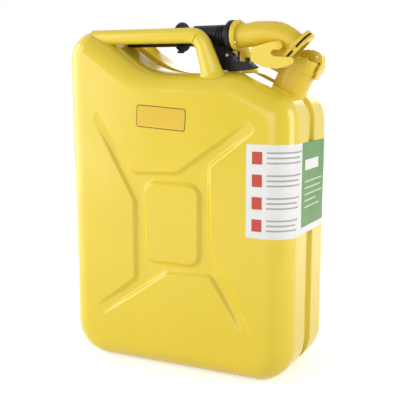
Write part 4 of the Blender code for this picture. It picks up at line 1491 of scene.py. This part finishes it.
    def ring(self) -> Mesh:
        """Return the flat seal on the coupling's face.

        Returns:
            The seal with its bore.
        """
        low = self.collar_length + self.clearance
        slab = self.coupling_plate(low, low + self.ring_seal, self.ring_inset)
        return Mill.cut(slab, self.coupling_bore(self.elbow_bore + self.ring_spare, 0.0, low * 2))

    def lever(self) -> Mesh:
        """Return the clamping lever: two forked cheeks, their bridge and its thumb lip.

        Returns:
            The lever with its rivet holes.
        """
        left = self.lever_left
        fork = [(left, -32.0, 4.0), *self.cheek_corners, (left, -16.0, 3.0)]
        outer = self.cheek_offset + self.cheek
        walls = []
        for side in (-1, 1):
            row = side * (self.cheek_offset + self.cheek / 2)
            wall = Mill.slab(fork, self.cheek, Matrix.Translation((0, row, 0)) @ UPRIGHT)
            walls.append(Mill.eased(wall, 0.45, 2))
        bridge = Mill.block((left, 0.5 - outer, -27.0), (left + 2.0, outer - 0.5, -18.0))
        lip = Mill.block((left - 7.0, 6.0 - outer, -20.0), (left + 1.0, outer - 6.0, -18.0))
        result = Mill.join(*walls, bridge, Mill.eased(lip, 0.5, 2))
        return Mill.cut(result, self.on_pivot(self.rivet_radius, -2 * outer, 2 * outer))

    def build(self, dresser: Dresser, finishes: Finishes) -> None:
        """Model the spout's larger pieces and dress them.

        Args:
            dresser: Places the pieces.
            finishes: The finishes to choose from.
        """
        stowed = Matrix.Translation(self.place) @ Matrix.Rotation(self.yaw, 4, "Z")
        for name, node, form, look in (
            ("spout_nozzle", "nozzle_tube", self.nozzle(), finishes.plastic),
            ("spout_guard", "stow_clip", self.guard(), finishes.plastic),
            ("spout_barrel", "nozzle_barrel", self.barrel(), finishes.plastic),
            ("spout_elbow", "elbow", self.elbow(), finishes.cast),
            ("coupling_foot", "clamp_plate", self.clamp(), finishes.cast),
            ("coupling_ring", "coupling_gasket", self.ring(), finishes.rubber),
            ("coupling_fork", "coupling_lever", self.lever(), finishes.lever),
        ):
            bmesh.ops.transform(form, matrix=stowed, verts=form.verts)
            dresser.add(form, name, look, node)


@dataclass
class FillerCap:
    """The thin skirt of the cap's lid, which hides the seal on the side away from the hinge."""

    middle: Corner = (138.0, 0.0, 390.55)
    slope: float = math.radians(25)
    inner: float = 25.0
    outer: float = 25.4
    low: float = 30.6
    high: float = 36.0
    chamfer: float = 0.1
    open_from: float = -6.0

    def build(self, dresser: Dresser, look: Look) -> None:
        """Model the skirt and dress it.

        Args:
            dresser: Places the piece.
            look: Its enamel.
        """
        ring = Mill.turned([
            (self.inner, self.low), (self.outer - self.chamfer, self.low),
            (self.outer, self.low + self.chamfer), (self.outer, self.high), (self.inner, self.high),
        ], ORIGIN)
        room = 2 * self.outer
        skirt = Mill.cut(ring, Mill.block((-room, -room, 0.0), (self.open_from, room, 2 * self.high)))
        place = Matrix.Translation(self.middle) @ Matrix.Rotation(self.slope, 4, "Y")
        bmesh.ops.transform(skirt, matrix=place, verts=skirt.verts)
        dresser.add(skirt, "cap_skirt", look, "cap_lid", False)


@dataclass
class RefinedNodes:
    """Small pieces that keep their solid's shape and get eased edges."""

    ease: float = 0.35
    weld: float = 0.002
    flat: float = math.radians(0.5)
    sharp: float = 35.0

    def build(self, dresser: Dresser, looks: dict[str, Look]) -> None:
        """Copy each node with its doubles merged and its edges eased.

        Args:
            dresser: Holds the nodes and places the pieces.
            looks: Each node's look.
        """
        for name, look in looks.items():
            form = bmesh.new()
            form.from_mesh(dresser.nodes[name].data)
            bmesh.ops.remove_doubles(form, verts=form.verts, dist=self.weld * MM)
            bmesh.ops.dissolve_limit(form, angle_limit=self.flat, verts=form.verts, edges=form.edges)
            Mill.eased(form, self.ease * MM, 2, self.sharp)
            dresser.add(form, name + "_dressed", look, name, metric=True)


@dataclass(frozen=True)
class Softbox:
    """A soft rectangular lamp, in metres and watts."""

    name: str
    place: Corner
    aim: Corner
    size: Pair
    power: float

    def hang(self) -> None:
        """Add the lamp to the scene."""
        data = bpy.data.lights.new(self.name, "AREA")
        data.shape = "RECTANGLE"
        data.size, data.size_y = self.size
        data.energy = self.power
        result = bpy.data.objects.new(self.name, data)
        result.location = self.place
        result.rotation_euler = (Vector(self.aim) - Vector(self.place)).to_track_quat("-Z", "Y").to_euler()
        bpy.context.scene.collection.objects.link(result)


@dataclass
class Studio:
    """White room: camera at the photograph's place, pale floor and soft lamps."""

    focal_length: float = 69.63
    camera_place: Corner = (0.49054, -0.9840, 0.4103)
    pitch: float = math.radians(10.63)
    azimuth: float = math.radians(25.93)
    shift: Pair = (-0.0288, 0.0483)
    ambient: float = 0.36
    floor_half: float = 2.2
    floor_grey: float = 0.8
    floor_roughness: float = 0.9
    # The floor's own glow rises between these distances from the can, so that it ends as white as the room.
    glow_reach: Pair = (0.25, 0.9)
    glow: Pair = (0.52, 1.0)
    lamps: tuple = (
        Softbox("left_softbox", (-1.6, -0.7, 0.7), (0, 0, 0.4), (2.4, 1.5), 30),
        Softbox("front_softbox", (0.2, -2.2, 0.7), (0, 0, 0.25), (1.4, 1.2), 14),
        Softbox("right_softbox", (1.85, 0.3, 0.7), (0, 0, 0.25), (0.9, 1.4), 20),
        Softbox("rear_softbox", (-0.3, 2.2, 0.8), (0, 0, 0.25), (1.6, 1.2), 11),
    )

    def camera(self) -> None:
        """Place the camera and make it the scene's own."""
        data = bpy.data.cameras.new("camera")
        data.lens = self.focal_length
        data.shift_x, data.shift_y = self.shift
        result = bpy.data.objects.new("camera", data)
        result.location = self.camera_place
        result.rotation_euler = (math.pi / 2 - self.pitch, 0, self.azimuth)
        bpy.context.scene.collection.objects.link(result)
        bpy.context.scene.camera = result

    @staticmethod
    def seen(sheet: NodeSheet) -> Socket:
        """Add nodes that tell where the room is seen, directly, mirrored or through glass.

        Args:
            sheet: The room's or the floor's node tree.

        Returns:
            A socket that is 1 there and 0 for other light.
        """
        rays = sheet.node("LightPath", {}).outputs
        result = rays["Is Camera Ray"]
        for other in ("Is Glossy Ray", "Is Transmission Ray"):
            either = sheet.node("Math", {0: result, 1: rays[other]}, operation="MAXIMUM")
            result = either.outputs["Value"]
        return result

    def floor(self) -> None:
        """Lay a white floor that keeps the can's shadow."""
        form = bmesh.new()
        bmesh.ops.create_grid(form, x_segments=1, y_segments=1, size=self.floor_half)
        result = Mill.to_object(form, "studio_floor")
        sheet = Surface("studio_white")
        sheet.feed(sheet.shader, {
            "Base Color": (*(self.floor_grey,) * 3, 1), "Roughness": self.floor_roughness,
            "Specular IOR Level": 0.0,
        })
        distance = sheet.node("VectorMath", {0: sheet.coordinates}, operation="LENGTH").outputs["Value"]
        level = sheet.node("MapRange", {
            "Value": distance, "From Min": self.glow_reach[0], "From Max": self.glow_reach[1],
            "To Min": self.glow[0], "To Max": self.glow[1],
        }).outputs["Result"]
        strength = sheet.node("Math", {0: self.seen(sheet), 1: level}, operation="MULTIPLY").outputs["Value"]
        glow = sheet.node("Emission", {"Color": WHITE, "Strength": strength}).outputs["Emission"]
        total = sheet.node("AddShader", {0: sheet.shader.outputs["BSDF"], 1: glow}).outputs["Shader"]
        sheet.feed(sheet.tree.nodes["Material Output"], {"Surface": total})
        result.data.materials.append(sheet.material)

    def world(self) -> None:
        """Make the room white to the eye and dimmer as light."""
        world = bpy.data.worlds.new("studio_room")
        world.use_nodes = True
        sheet = NodeSheet(world.node_tree)
        level = sheet.node("MapRange", {"Value": self.seen(sheet), "To Min": self.ambient, "To Max": 1.0})
        background = sheet.tree.nodes["Background"]
        sheet.feed(background, {"Color": WHITE, "Strength": level.outputs["Result"]})
        bpy.context.scene.world = world

    def build(self) -> None:
        """Set up the whole room."""
        self.camera()
        self.floor()
        self.world()
        for lamp in self.lamps:
            lamp.hang()
        bpy.context.scene.view_settings.view_transform = "Standard"


def main() -> None:
    """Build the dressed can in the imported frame."""
    logging.basicConfig(level=logging.INFO, format="%(message)s")
    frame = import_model()
    Studio().build()
    finishes = Finishes()
    body = PressedBody()
    low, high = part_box("front_shell")
    dresser = Dresser(frame, (low[0] + high[0]) / 2)
    body.build(dresser, finishes.body)
    CarryingBars().build(dresser, body, finishes.body)
    Films().build(dresser, body, finishes)
    Spout().build(dresser, finishes)
    FillerCap().build(dresser, finishes.cast)
    cast, moulded, sealing, plated = finishes.cast, finishes.plastic, finishes.rubber, finishes.steel
    RefinedNodes().build(dresser, {
        "neck": cast, "neck_hinge": cast, "cap_lid": cast, "cap_lever": finishes.lever, "trigger": moulded,
        "flange_gasket": sealing, "cap_gasket": sealing, "breather_tube": plated, "cap_hinge_pin": plated,
        "cap_lever_pin": plated, "flange_screw_1": plated, "flange_screw_2": plated, "flange_screw_3": plated,
        "lever_rivet_front": cast, "lever_rivet_rear": cast, "trigger_pin": plated, "valve_rod": moulded,
    })


if __name__ == "__main__":
    main()
